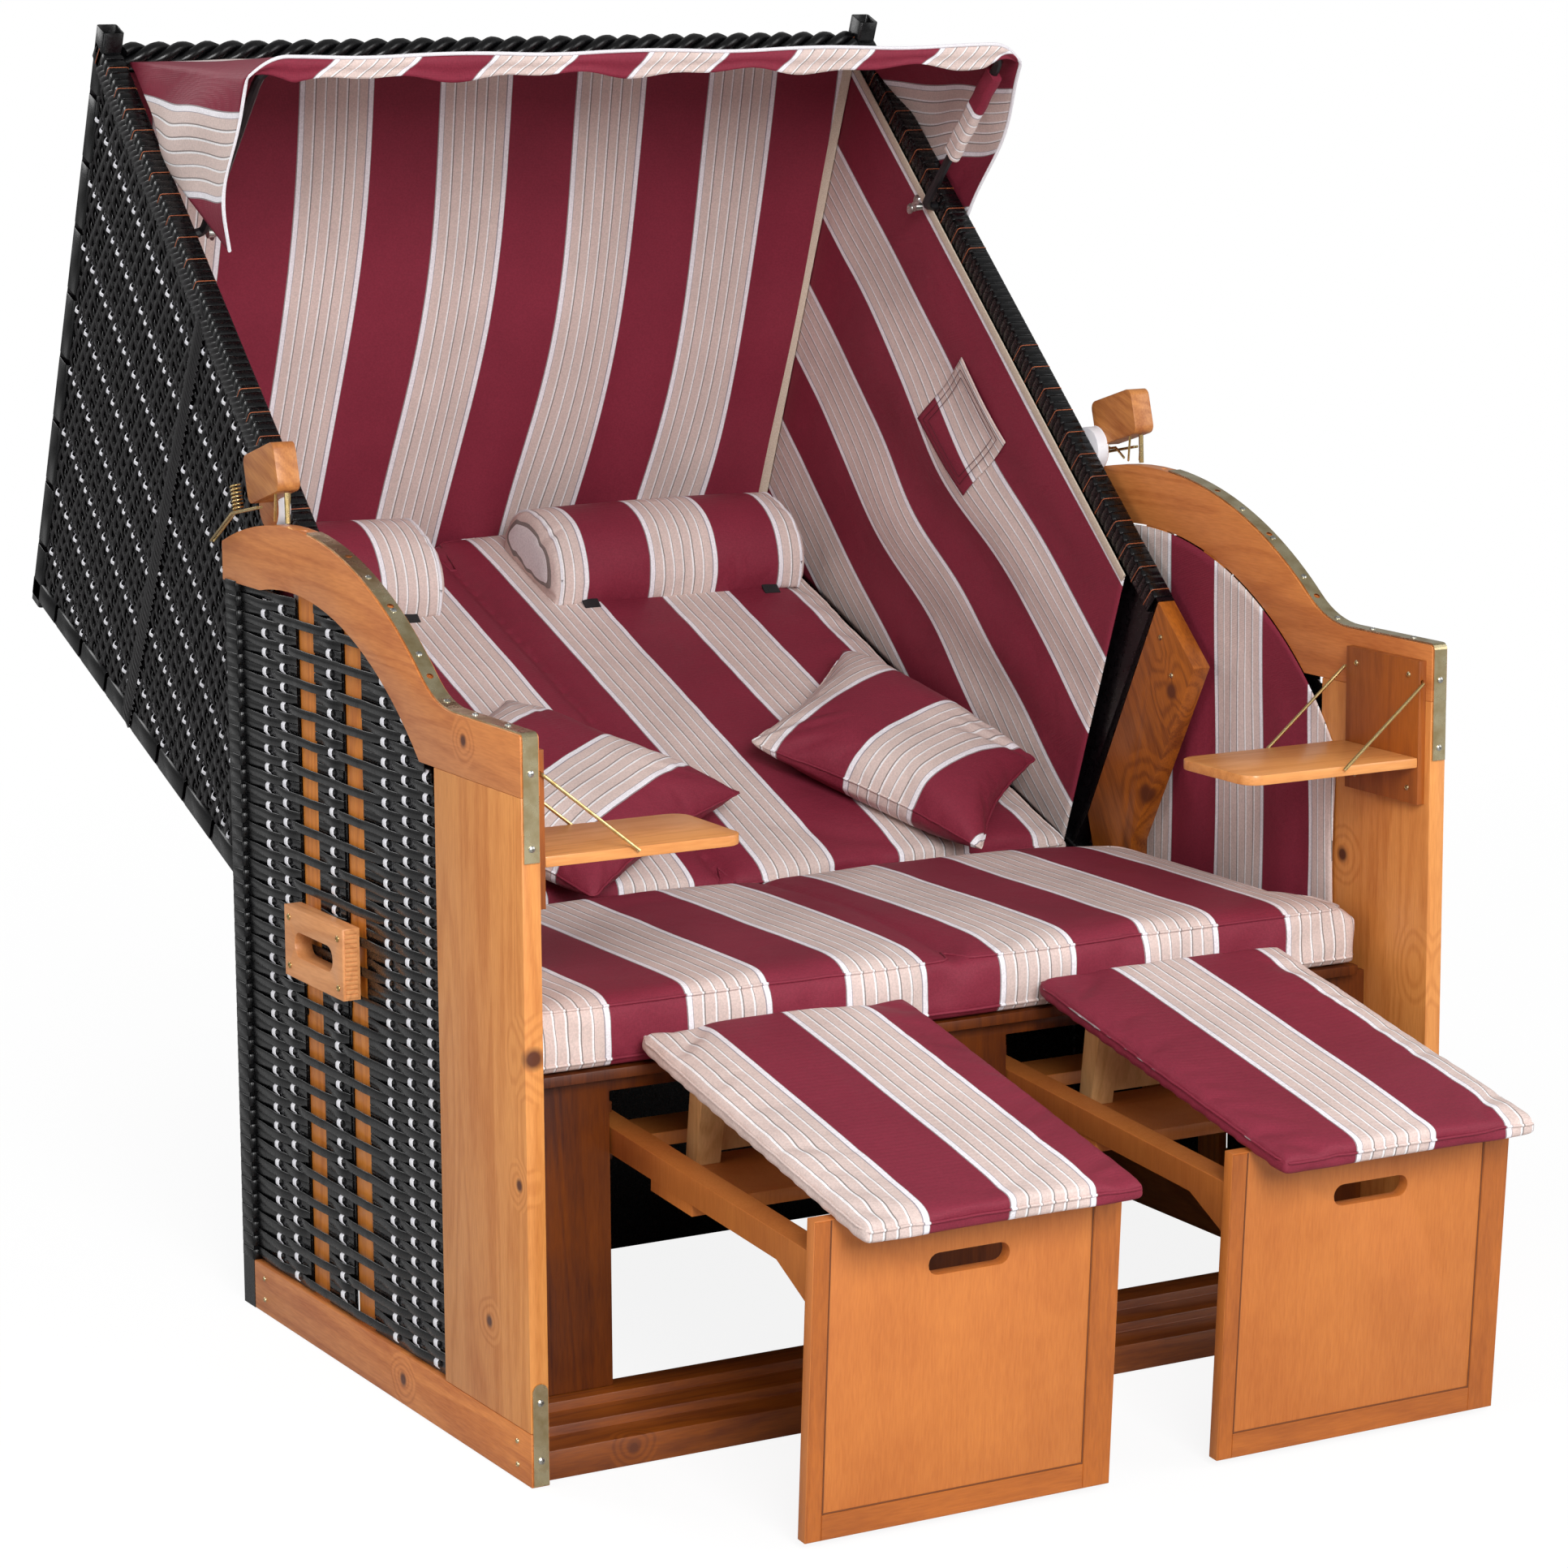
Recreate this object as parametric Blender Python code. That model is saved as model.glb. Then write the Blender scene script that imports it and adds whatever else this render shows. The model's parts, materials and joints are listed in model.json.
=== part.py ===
"""Hooded beach chair for two: a wooden base with a seat, drawers with footrests and side tables,
and a woven hood that tilts on two bolts and carries the backrest and an awning.

Lengths are in metres and angles in radians. X runs across the chair, Y from front to back, Z up.
Each outline is drawn in the frame of the body that carries it:
the base in the chair's frame, whose Y starts at the front of the side frames,
the hood in a frame on its pivot, where U (the frame's Y) runs up the backrest and V (its Z) away from it,
and each drawer in a frame on the top of its rails, which run slightly downhill to the front.
"""
import bpy
import bmesh
from math import acos, asin, atan2, cos, hypot, pi, radians, sin, sqrt, tan
from mathutils import Matrix, Vector

SIDES = (("l", -1), ("r", 1))

# Clearances
GAP = 0.0003
OVERRUN = 0.002
RUNNING = 0.0015

# Side frames
WIDTH = 1.200
BOARD = 0.022
PIVOT_BACK = 0.600
PIVOT_UP = 0.400
ARM_RADIUS = 0.568
ARM_BAND = 0.074
ARM_FILLET = 0.1276
ARM_FLAT_DROP = 0.152
ARM_FRONT_HEIGHT = 0.066
ARCH_BACK_DROP = 0.008
ARM_LENGTH = 0.800
ARM_CORNER = 0.005
POST_WIDTH = 0.215
SIDE_RAIL_HEIGHT = 0.060
BACK_POST_FRONT = 0.760
BACK_POST_DEPTH = 0.033
WEAVE_THICKNESS = 0.008
WEAVE_SETBACK = 0.0015
SLAT_WIDTH = 0.047
SLAT_FRONT = 0.421
SLAT_BACK = 0.550
CLEAT_HEIGHT = 0.060
CLEAT_END = 0.030

# Linings of the side frames
LINING_THICKNESS = 0.0022
LINING_FOLD = 0.0018
LINING_ARCH_INSET = 0.077
LINING_BOTTOM = 0.430
LINING_FOLDS = 6

# Straps, holes and handles
STRAP_WIDTH = 0.018
STRAP_THICKNESS = 0.002
STRAP_END_UP = 0.680
STRAP_START = radians(95)
LOCK_FIRST = radians(92.8)
LOCK_STEP = radians(12)
LOCK_HOLES = 4
LOCK_HOLE_RADIUS = 0.004
LOCK_HOLE_DEPTH = 0.020
HANDLE_LENGTH = 0.165
HANDLE_HEIGHT = 0.083
HANDLE_DEPTH = 0.0215
HANDLE_FRONT = 0.425
HANDLE_UP = 0.450
HANDLE_SLOT_LENGTH = 0.108
HANDLE_SLOT_HEIGHT = 0.030

# Side tables
TABLE_PLATE_FRONT = 0.010
TABLE_PLATE_WIDTH = 0.142
TABLE_PLATE_THICKNESS = 0.010
TABLE_PLATE_DROP = 0.019
TABLE_PLATE_HEIGHT = 0.170
TABLE_LEAF_RISE = 0.044
TABLE_LEAF_THICKNESS = 0.012
TABLE_LEAF_LENGTH = 0.240
TABLE_LEAF_OVERHANG = 0.005
TABLE_LEAF_CORNER = 0.022
WIRE_RADIUS = 0.002
WIRE_BORE = 0.0024
WIRE_BORE_DROP = 0.025
WIRE_REACH = 0.114
WIRE_END_RISE = 0.008

# Seat and the frame under it
DECK_UP = 0.408
DECK_THICKNESS = 0.0117
DECK_FRONT = 0.100
DECK_BACK = 0.612
SEAT_SIDE_CLEAR = 0.025
SEAT_HOOD_CLEAR = 0.009
SEAT_WAIST = 0.195
SEAT_TAPER = 0.020
SEAT_THICKNESS = 0.080
SEAT_CROWN = 0.008
SEAT_SHOULDER = 0.018
SEAT_DRAWN_IN = 0.004
SEAT_CREASE = 0.006
SEAT_CROWN_END_SHARE = 0.5
SEAT_CLEAR = 0.006
SEAT_BACK = 0.617
SEAT_FRONT = 0.0955
STILE_FRONT = 0.120
STILE_THICKNESS = 0.018
OUTER_STILE = 0.138
MIDDLE_STILE = 0.142
FRONT_RAIL_DROP = 0.018
FRONT_RAIL_START = 0.0137
FRONT_RAIL_HEIGHT = 0.033
FRONT_RAIL_RISE = 0.011
FRONT_RAIL_BOARD_DEPTH = 0.043
FRONT_RAIL_BOARDS = 3
BACK_PANEL_THICKNESS = 0.025
BACK_PANEL_SETBACK = 0.003
BACK_PANEL_HEIGHT = 0.440
BACK_PANEL_BAR = 0.045
BACK_PANEL_RECESS = 0.008

# Drawers, footrests and props
DRAWER_DROOP = radians(3.9)
DRAWER_BACK = -0.317
DRAWER_BELOW_DECK = 0.0896
PANEL_THICKNESS = 0.015
PANEL_TOP = 0.0368
PANEL_DROP = 0.3112
PANEL_LAP = 0.003
PANEL_SLOT_LENGTH = 0.098
PANEL_SLOT_HEIGHT = 0.024
PANEL_SLOT_DROP = 0.055
DRAWER_RAIL = 0.030
DRAWER_RAIL_LENGTH = 0.618
BRACE_LENGTH = 0.066
BRACE_DROP = 0.058
BATTEN_THICKNESS = 0.014
BATTEN_FRONT = 0.253
BATTEN_WIDTH = 0.094
BATTEN_STEP = 0.223
REAR_BATTEN_WIDTH = 0.056
REST_WIDTH = 0.044
LEDGE = 0.012
RUNNER = 0.015
LEDGE_THICKNESS = 0.012
RUNNER_BAR = 0.040
BOARD_TILT = radians(11.5)
BOARD_OVERHANG = 0.069
BOARD_LENGTH = 0.498
BOARD_SIDE_CLEAR = 0.016
BOARD_THICKNESS = 0.030
BOARD_CROWN = 0.003
BOARD_SHOULDER = 0.010
PROP_HINGE_BACK = 0.377
PROP_HINGE_DROP = 0.016
PROP_TOP_RADIUS = 0.0150
PROP_FOOT = 0.024
PROP_LEG = 0.030
PROP_LEAN = radians(6)
PROP_SPAN_SHARE = 0.78
PROP_BAR_HEIGHT = 0.052
PROP_BAR_THICKNESS = 0.012

# Hood, in its own frame
HOOD_RECLINE = radians(21)
HOOD_RANGE = radians(41)
HOOD_SPACE = 0.018
HOOD_SIDE = 0.025
HOOD_TIP_BACK = 0.044
HOOD_TIP_UP = 0.376
HOOD_APEX_ALONG = 1.025
HOOD_APEX_UP = 0.801
HOOD_CORNER_OVERHANG = 0.017
HOOD_CHAMFER = 0.026
HOOD_BAR = 0.028
HOOD_RECESS = 0.007
HOOD_PANEL = 0.022
HOOD_SKIN = 0.006
MID_STILE_FOOT_INSET = 0.335
MID_STILE_HEAD_INSET = 0.425
TOP_RAIL_RADIUS = 0.018
LOWER_BOARD_FRONT = 0.003
LOWER_BOARD_HEEL = 0.100
LOWER_BOARD_HEEL_UP = 0.083
LOWER_BOARD_NECK_UP = 0.104
LOWER_BOARD_WIDTH = 0.102
LOWER_BOARD_FOOT = 0.035
BOLT_RADIUS = 0.005
BOLT_CLEAR = 0.0004
BOLT_HEAD = 0.011
BOLT_HEAD_HEIGHT = 0.004
CLOTH = 0.003
ROOF_FOLD = 0.005
ROOF_FOLDS = 5
HOOD_LINING_FOLD = 0.004
HOOD_LINING_FOLDS = 4
LINING_EDGE = 0.034

# Backrest, neck rolls and scatter pillows, in the hood's frame
BACKREST_START = 0.075
BACKREST_END_INSET = 0.036
BACKREST_SIDE_CLEAR = 0.030
BACKREST_THICKNESS = 0.043
BACKREST_CREASE = 0.012
BACKREST_SHOULDER = 0.016
BACKREST_DRAWN_IN = 0.004
ROLL_BELOW_END = 0.236
ROLL_DEPTH = 0.180
ROLL_HEIGHT = 0.095
ROLL_INNER = 0.082
ROLL_OUTER_INSET = 0.033
ROLL_END = 0.018
ROLL_END_WIDTH_SHARE = 0.94
ROLL_END_HEIGHT_SHARE = 0.7
ROLL_WALL_SHARE = 0.18
ROLL_ROUNDNESS = 2.4
PILLOW_SIDE_ROOM = 0.135
PILLOW_THICKNESS = 0.088
PILLOW_EDGE = 0.004
PILLOW_PULL_SHARE = 0.10
PILLOW_FULLNESS = 0.7
PILLOW_CLIMB = 0.085
LEFT_PILLOW_ALONG = 0.238
RIGHT_PILLOW_ALONG = 0.262
PILLOW_SIDE_SHARES = {"l": -0.356, "r": 0.693}
PILLOW_CORNER_SHARES = {
    "l": ((0.14, 0.66), (0.69, -0.12), (-0.15, -0.66), (-0.62, 0.14)),
    "r": ((0.13, 0.73), (0.45, -0.17), (-0.10, -0.71), (-0.59, 0.14)),
}

# Locks on the hood's sides
GRIP_FRONT = 0.022
GRIP_LENGTH = 0.095
GRIP_HEIGHT = 0.058
GRIP_THICKNESS = 0.028
GRIP_TILT = radians(-13.5)
GRIP_LIFT = 0.037
GRIP_CORNER = 0.010
GRIP_SPACER = 0.015
GRIP_DISC_RADIUS = 0.029
GRIP_DISC_BACK = 0.004
GRIP_DISC_DROP = 0.002
PIN_RADIUS = 0.003
PIN_ANGLE = radians(87.5)
PIN_CLEAR = 0.0027

# Awning, in the hood's frame
AWNING_PIVOT_BELOW_EDGE = 0.0185
AWNING_PIVOT_INSET = 0.299
AWNING_BAR_BACK = 0.113
AWNING_BAR_UP = 0.264
AWNING_ARM_INSET = 0.044
BOW_RADIUS = 0.006
BOW_BEND = 0.030
AWNING_SAG = 0.014
AWNING_FOLD = 0.004
AWNING_FOLDS = 7
AWNING_INSET = 0.015
LEFT_FLAP_OVERHANG = -0.031
RIGHT_FLAP_OVERHANG = 0.007
FLAP_TIP_WIDTH = 0.036
FLAP_SHARE = 0.16
FLAP_START_SHARE = 0.42
FLAP_LEAST_SHARE = 0.05

# Steps in round stretches and soft surfaces
ARC_STEPS = 22
FILLET_STEPS = 8
CORNER_STEPS = 4
ROUND_SIDES = 24
PIN_SIDES = 12
EDGE_STEP_SHARES = (0, 0.12, 0.45, 1)
PILLOW_STEP_SHARES = (0, 0.03, 0.1, 0.2, 0.32, 0.44, 0.56, 0.68, 0.8, 0.9, 0.97, 1)
FLAP_STEP_SHARES = (0, 0.3, 0.65)

# Places worked out from the sizes above
OUTER = WIDTH / 2
INNER = OUTER - BOARD
INSIDE = INNER - GAP
ARCH_RADIUS = ARM_RADIUS - ARM_BAND
ARM_FLAT_UP = PIVOT_UP + ARM_RADIUS - ARM_FLAT_DROP
ARM_UNDER_UP = ARM_FLAT_UP - ARM_FRONT_HEIGHT
ARM_END_UP = PIVOT_UP + ARCH_RADIUS - ARCH_BACK_DROP
LINING_FRONT = PIVOT_BACK - ARCH_RADIUS + LINING_ARCH_INSET
WEAVE_OUT = OUTER - WEAVE_SETBACK
WEAVE_IN = WEAVE_OUT - WEAVE_THICKNESS
SLAT_OUT = WEAVE_IN - GAP
SLAT_IN = INNER + GAP
STRAP_MIDDLE = OUTER - BOARD / 2
TABLE_PLATE_IN = INSIDE - TABLE_PLATE_THICKNESS
TABLE_PLATE_UP = ARM_FLAT_UP - TABLE_PLATE_DROP - TABLE_PLATE_HEIGHT
WIRE_AXIS = INSIDE - TABLE_PLATE_THICKNESS / 2
WIRE_UP = TABLE_PLATE_UP + TABLE_PLATE_HEIGHT - WIRE_BORE_DROP
LEAF_HINGE = TABLE_PLATE_IN - GAP
TABLE_LEAF_UP = TABLE_PLATE_UP + TABLE_LEAF_RISE
WIRE_DROP = WIRE_UP - TABLE_LEAF_UP - WIRE_END_RISE
DECK_TOP = DECK_UP + DECK_THICKNESS
SEAT_BASE = DECK_TOP + GAP
SEAT_TOP = SEAT_BASE + SEAT_THICKNESS
SEAT_WIDE = INNER - SEAT_SIDE_CLEAR
STILE_BACK = STILE_FRONT + STILE_THICKNESS
FRONT_RAIL_DEPTH = FRONT_RAIL_BOARD_DEPTH * FRONT_RAIL_BOARDS
REFERENCE_BACK = FRONT_RAIL_START + FRONT_RAIL_DEPTH / 2
FRONT_RAIL_TOP = FRONT_RAIL_HEIGHT + FRONT_RAIL_RISE * (FRONT_RAIL_BOARDS - 1)
BAY_OUT = INNER - OUTER_STILE
BAY_IN = MIDDLE_STILE / 2
BAY_MIDDLE = (BAY_OUT + BAY_IN) / 2
RAIL_OUT = BAY_OUT - RUNNING
RAIL_IN = BAY_IN + RUNNING
DRAWER_UP = DECK_UP - DRAWER_BELOW_DECK
BOARD_WIDTH = BAY_OUT - BAY_IN - 2 * BOARD_SIDE_CLEAR
BACK_PANEL_FRONT = BACK_POST_FRONT + BACK_PANEL_SETBACK
HOOD_HALF = INNER - HOOD_SPACE
HOOD_IN = HOOD_HALF - HOOD_SIDE
HOOD_FREE = HOOD_IN - GAP
HOOD_CORNER_ALONG = HOOD_APEX_ALONG + HOOD_CORNER_OVERHANG
MID_STILE_FOOT = HOOD_APEX_ALONG - MID_STILE_FOOT_INSET
MID_STILE_HEAD = HOOD_APEX_ALONG - MID_STILE_HEAD_INSET
SEAT_NARROW = HOOD_IN - SEAT_HOOD_CLEAR
EDGE_SLOPE = (HOOD_APEX_UP - HOOD_TIP_UP) / (HOOD_APEX_ALONG + HOOD_TIP_BACK)
EDGE_ANGLE = atan2(EDGE_SLOPE, 1)
BACKREST_FACE = HOOD_PANEL + BACKREST_THICKNESS
BACKREST_END = HOOD_CORNER_ALONG - BACKREST_END_INSET
BACKREST_HALF = HOOD_IN - BACKREST_SIDE_CLEAR
ROLL_START = BACKREST_END - ROLL_BELOW_END
ROLL_LENGTH = BACKREST_HALF - ROLL_OUTER_INSET - ROLL_INNER
PILLOW = BACKREST_HALF - PILLOW_SIDE_ROOM
PILLOW_ALONG = {"l": LEFT_PILLOW_ALONG, "r": RIGHT_PILLOW_ALONG}
ROOF_OUT_LEAN = (HOOD_CORNER_ALONG - HOOD_APEX_ALONG) / HOOD_APEX_UP
AWNING_PIVOT_ALONG = HOOD_APEX_ALONG - AWNING_PIVOT_INSET
AWNING_EDGE_UP = HOOD_TIP_UP + EDGE_SLOPE * (AWNING_PIVOT_ALONG + HOOD_TIP_BACK)
AWNING_PIVOT_UP = AWNING_EDGE_UP - AWNING_PIVOT_BELOW_EDGE
BOW_HALF = HOOD_HALF - AWNING_ARM_INSET
AWNING_SPREAD = HOOD_HALF - AWNING_INSET
FLAP_OVERHANGS = {"l": LEFT_FLAP_OVERHANG, "r": RIGHT_FLAP_OVERHANG}

FINISHES = {
    "wood": ((0.58, 0.25, 0.055), 0.45, 0.0),
    "light_wood": ((0.68, 0.36, 0.12), 0.50, 0.0),
    "weave": ((0.008, 0.008, 0.009), 0.50, 0.0),
    "maroon_cloth": ((0.145, 0.017, 0.040), 0.90, 0.0),
    "beige_cloth": ((0.58, 0.45, 0.35), 0.90, 0.0),
    "zinc": ((0.55, 0.47, 0.22), 0.40, 1.0),
    "brass": ((0.72, 0.50, 0.20), 0.35, 1.0),
    "steel": ((0.45, 0.42, 0.36), 0.35, 1.0),
    "black_metal": ((0.01, 0.01, 0.01), 0.40, 0.8),
}


# Building blocks

def clear_scene():
    for obj in list(bpy.data.objects):
        bpy.data.objects.remove(obj)


def empty(name, parent=None, place=(0, 0, 0), turn=0):
    """A frame for a body: an empty at place, turned about X."""
    frame = bpy.data.objects.new(name, None)
    frame.location = place
    frame.rotation_euler = (turn, 0, 0)
    frame.parent = parent
    bpy.context.collection.objects.link(frame)
    return frame


def own_material(name, finish):
    colour, roughness, metallic = FINISHES[finish]
    material = bpy.data.materials.new(name)
    material.use_nodes = True
    shader = material.node_tree.nodes["Principled BSDF"]
    shader.inputs["Base Color"].default_value = (*colour, 1)
    shader.inputs["Roughness"].default_value = roughness
    shader.inputs["Metallic"].default_value = metallic
    return material


def make_object(name, bm, finish, parent, smooth=False):
    bmesh.ops.recalc_face_normals(bm, faces=bm.faces)
    mesh = bpy.data.meshes.new(name)
    bm.to_mesh(mesh)
    bm.free()
    if smooth:
        mesh.shade_smooth()
        mesh.set_sharp_from_angle(angle=radians(40))
    obj = bpy.data.objects.new(name, mesh)
    obj.parent = parent
    bpy.context.collection.objects.link(obj)
    if finish:
        mesh.materials.append(own_material(name, finish))
    else:
        obj.hide_render = True
        obj.display_type = "WIRE"
    return obj


def arc(centre_a, centre_b, radius, start, end, steps):
    """Points on an arc, from the start angle to the end angle."""
    points = []
    for step in range(steps + 1):
        angle = start + (end - start) * step / steps
        points.append((centre_a + radius * cos(angle), centre_b + radius * sin(angle)))
    return points


def rectangle(low_a, low_b, high_a, high_b):
    return [(low_a, low_b), (high_a, low_b), (high_a, high_b), (low_a, high_b)]


def rounded_rectangle(low_a, low_b, high_a, high_b, radius):
    corners = [(high_a - radius, high_b - radius, 0), (low_a + radius, high_b - radius, pi / 2),
               (low_a + radius, low_b + radius, pi), (high_a - radius, low_b + radius, 3 * pi / 2)]
    outline = []
    for centre_a, centre_b, start in corners:
        outline += arc(centre_a, centre_b, radius, start, start + pi / 2, CORNER_STEPS)
    return outline


def prism_mesh(bm, outline, low, high, axis="x"):
    """A straight prism along an axis; its outline holds the two other coordinates in X, Y, Z order."""
    order = {"x": lambda a, b, c: (c, a, b), "y": lambda a, b, c: (a, c, b), "z": lambda a, b, c: (a, b, c)}
    ends = []
    for level in (low, high):
        ends.append([bm.verts.new(order[axis](a, b, level)) for a, b in outline])
    first, second = ends
    start_face = bm.faces.new(first)
    end_face = bm.faces.new(list(reversed(second)))
    for index in range(len(outline)):
        after = (index + 1) % len(outline)
        bm.faces.new((first[index], second[index], second[after], first[after]))
    return start_face, end_face


def prism(name, outline, low, high, finish, parent, axis="x"):
    bm = bmesh.new()
    prism_mesh(bm, outline, low, high, axis)
    return make_object(name, bm, finish, parent)


def side_prism(name, side, outline, inner, outer, finish, parent):
    """A prism along X on one side of the chair, between two distances from its middle."""
    return prism(name, outline, side * inner, side * outer, finish, parent)


def turned(name, profile, place, finish, parent, sides=ROUND_SIDES):
    """A solid turned about an axis along X; the profile holds pairs of X and radius."""
    bm = bmesh.new()
    back, up = place
    rings = []
    for x, radius in profile:
        ring = []
        for index in range(sides):
            angle = 2 * pi * index / sides
            ring.append(bm.verts.new((x, back + radius * cos(angle), up + radius * sin(angle))))
        rings.append(ring)
    for ring, following in zip(rings, rings[1:]):
        for index in range(sides):
            after = (index + 1) % sides
            bm.faces.new((ring[index], ring[after], following[after], following[index]))
    bm.faces.new(rings[0])
    bm.faces.new(list(reversed(rings[-1])))
    return make_object(name, bm, finish, parent, smooth=True)


def rod(name, start, end, radius, finish, parent, sides=PIN_SIDES):
    """A straight round rod between two points."""
    start, end = Vector(start), Vector(end)
    span = end - start
    turn = span.to_track_quat("Z", "Y").to_matrix().to_4x4()
    bm = bmesh.new()
    bmesh.ops.create_cone(bm, cap_ends=True, segments=sides, radius1=radius, radius2=radius,
                          depth=span.length, matrix=Matrix.Translation((start + end) / 2) @ turn)
    return make_object(name, bm, finish, parent, smooth=True)


def change(obj, operation, other):
    """Cut the other object out of this one, or join it on."""
    modifier = obj.modifiers.new(other.name, "BOOLEAN")
    modifier.operation = operation
    modifier.solver = "EXACT"
    modifier.object = other


def cut(obj, other):
    change(obj, "DIFFERENCE", other)


def join(obj, other):
    change(obj, "UNION", other)


def bent_path(points, bend, steps=CORNER_STEPS):
    """A path through points whose corners are rounded off over a given length."""
    points = [Vector(point) for point in points]
    path = [points[0]]
    for before, corner, after in zip(points, points[1:], points[2:]):
        entry = corner + (before - corner).normalized() * bend
        leave = corner + (after - corner).normalized() * bend
        for step in range(steps + 1):
            share = step / steps
            path.append(entry.lerp(corner, share).lerp(corner.lerp(leave, share), share))
    path.append(points[-1])
    return path


def tube(name, path, radius, finish, parent):
    curve = bpy.data.curves.new(name, "CURVE")
    curve.dimensions = "3D"
    curve.bevel_depth = radius
    curve.bevel_resolution = 2
    curve.use_fill_caps = True
    spline = curve.splines.new("POLY")
    spline.points.add(len(path) - 1)
    for point, place in zip(spline.points, path):
        point.co = (*place, 1)
    obj = bpy.data.objects.new(name, curve)
    obj.parent = parent
    bpy.context.collection.objects.link(obj)
    curve.materials.append(own_material(name, finish))
    return obj


def even_shares(steps):
    return [step / steps for step in range(steps + 1)]


def edged_shares(steps, length, shoulder):
    """Shares of a length that crowd together near both ends, to draw a rounded shoulder there."""
    edge = shoulder / length
    near = [edge * share for share in EDGE_STEP_SHARES]
    middle = [edge + (1 - 2 * edge) * share for share in even_shares(steps)[1:-1]]
    return near + middle + [1 - share for share in reversed(near)]


def rounding(distance, shoulder):
    """How high a rounded shoulder stands at a distance from its edge, as a share."""
    if distance >= shoulder:
        return 1
    return sqrt(1 - (1 - distance / shoulder) ** 2)


def slab(name, across, along, upper, lower, finish, parent):
    """A closed soft form between two surfaces, each a function of two shares."""
    bm = bmesh.new()
    grids = []
    for surface in (upper, lower):
        grids.append([[bm.verts.new(surface(s, t)) for t in along] for s in across])
    top, bottom = grids
    last_s, last_t = len(across) - 1, len(along) - 1
    for s in range(last_s):
        for t in range(last_t):
            bm.faces.new((top[s][t], top[s + 1][t], top[s + 1][t + 1], top[s][t + 1]))
            bm.faces.new((bottom[s][t], bottom[s][t + 1], bottom[s + 1][t + 1], bottom[s + 1][t]))
    for s in range(last_s):
        for t in (0, last_t):
            bm.faces.new((top[s][t], bottom[s][t], bottom[s + 1][t], top[s + 1][t]))
    for t in range(last_t):
        for s in (0, last_s):
            bm.faces.new((top[s][t], top[s][t + 1], bottom[s][t + 1], bottom[s][t]))
    return make_object(name, bm, finish, parent, smooth=True)


# Side frames

def arm_top_line(offset, start):
    """The arm's upper edge moved out by an offset, from an angle about the pivot to the front face."""
    fillet_up = ARM_FLAT_UP + ARM_FILLET
    rise = fillet_up - PIVOT_UP
    fillet_back = PIVOT_BACK - sqrt((ARM_RADIUS + ARM_FILLET) ** 2 - rise ** 2)
    tangent = atan2(rise, fillet_back - PIVOT_BACK)
    line = arc(PIVOT_BACK, PIVOT_UP, ARM_RADIUS + offset, start, tangent, ARC_STEPS)
    line += arc(fillet_back, fillet_up, ARM_FILLET - offset, tangent - pi, -pi / 2, FILLET_STEPS)[1:]
    line += arc(ARM_CORNER, ARM_FLAT_UP - ARM_CORNER, ARM_CORNER + offset, pi / 2, pi, CORNER_STEPS)
    return line


def arch_line(offset):
    """The edge of the side opening, moved in by an offset, from its back to its front."""
    radius = ARCH_RADIUS - offset
    end_up = ARM_END_UP - offset
    under_up = ARM_UNDER_UP - offset
    back = asin((end_up - PIVOT_UP) / radius)
    front = pi - asin((under_up - PIVOT_UP) / radius)
    return arc(PIVOT_BACK, PIVOT_UP, radius, back, front, ARC_STEPS)


def arch_up(back, offset):
    """Height of the arch over a place, moved in by an offset."""
    return PIVOT_UP + sqrt((ARCH_RADIUS - offset) ** 2 - (back - PIVOT_BACK) ** 2)


def arm_board(name, side, chair):
    back_angle = acos((ARM_LENGTH - PIVOT_BACK) / ARM_RADIUS)
    outline = arm_top_line(0, back_angle)
    outline += [(0, ARM_UNDER_UP)] + list(reversed(arch_line(0))) + [(ARM_LENGTH, ARM_END_UP)]
    board = side_prism(name, side, outline, INNER, OUTER, "wood", chair)
    for hole in lock_holes(name, side, ARM_RADIUS - LOCK_HOLE_DEPTH, chair):
        cut(board, hole)


def lock_holes(name, side, depth_radius, chair):
    """Cutters for the row of holes that the lock pins drop into."""
    cutters = []
    for index in range(LOCK_HOLES):
        angle = LOCK_FIRST + LOCK_STEP * index
        ends = []
        for radius in (depth_radius, ARM_RADIUS + STRAP_THICKNESS + OVERRUN):
            back, up = PIVOT_BACK + radius * cos(angle), PIVOT_UP + radius * sin(angle)
            ends.append((side * STRAP_MIDDLE, back, up))
        cutters.append(rod(f"{name}_hole_{index}", ends[0], ends[1], LOCK_HOLE_RADIUS, None, chair))
    return cutters


def arm_strap(name, side, chair):
    under = arm_top_line(GAP, STRAP_START) + [(-GAP, STRAP_END_UP)]
    proud = GAP + STRAP_THICKNESS
    over = arm_top_line(proud, STRAP_START) + [(-proud, STRAP_END_UP)]
    strap = side_prism(name, side, over + list(reversed(under)), STRAP_MIDDLE - STRAP_WIDTH / 2,
                       STRAP_MIDDLE + STRAP_WIDTH / 2, "zinc", chair)
    for hole in lock_holes(name, side, ARM_RADIUS - OVERRUN, chair):
        cut(strap, hole)


def front_post(name, side, chair):
    outline = rectangle(0, SIDE_RAIL_HEIGHT + GAP, POST_WIDTH, ARM_UNDER_UP - GAP)
    side_prism(name, side, outline, INNER, OUTER, "wood", chair)


def bottom_rail(name, side, chair):
    outline = rectangle(0, 0, BACK_POST_FRONT - GAP, SIDE_RAIL_HEIGHT)
    side_prism(name, side, outline, INNER, OUTER, "wood", chair)


def back_post(name, side, chair):
    outline = rectangle(BACK_POST_FRONT, 0, BACK_POST_FRONT + BACK_POST_DEPTH, ARM_END_UP - GAP)
    side_prism(name, side, outline, INNER, OUTER, "weave", chair)


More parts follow.
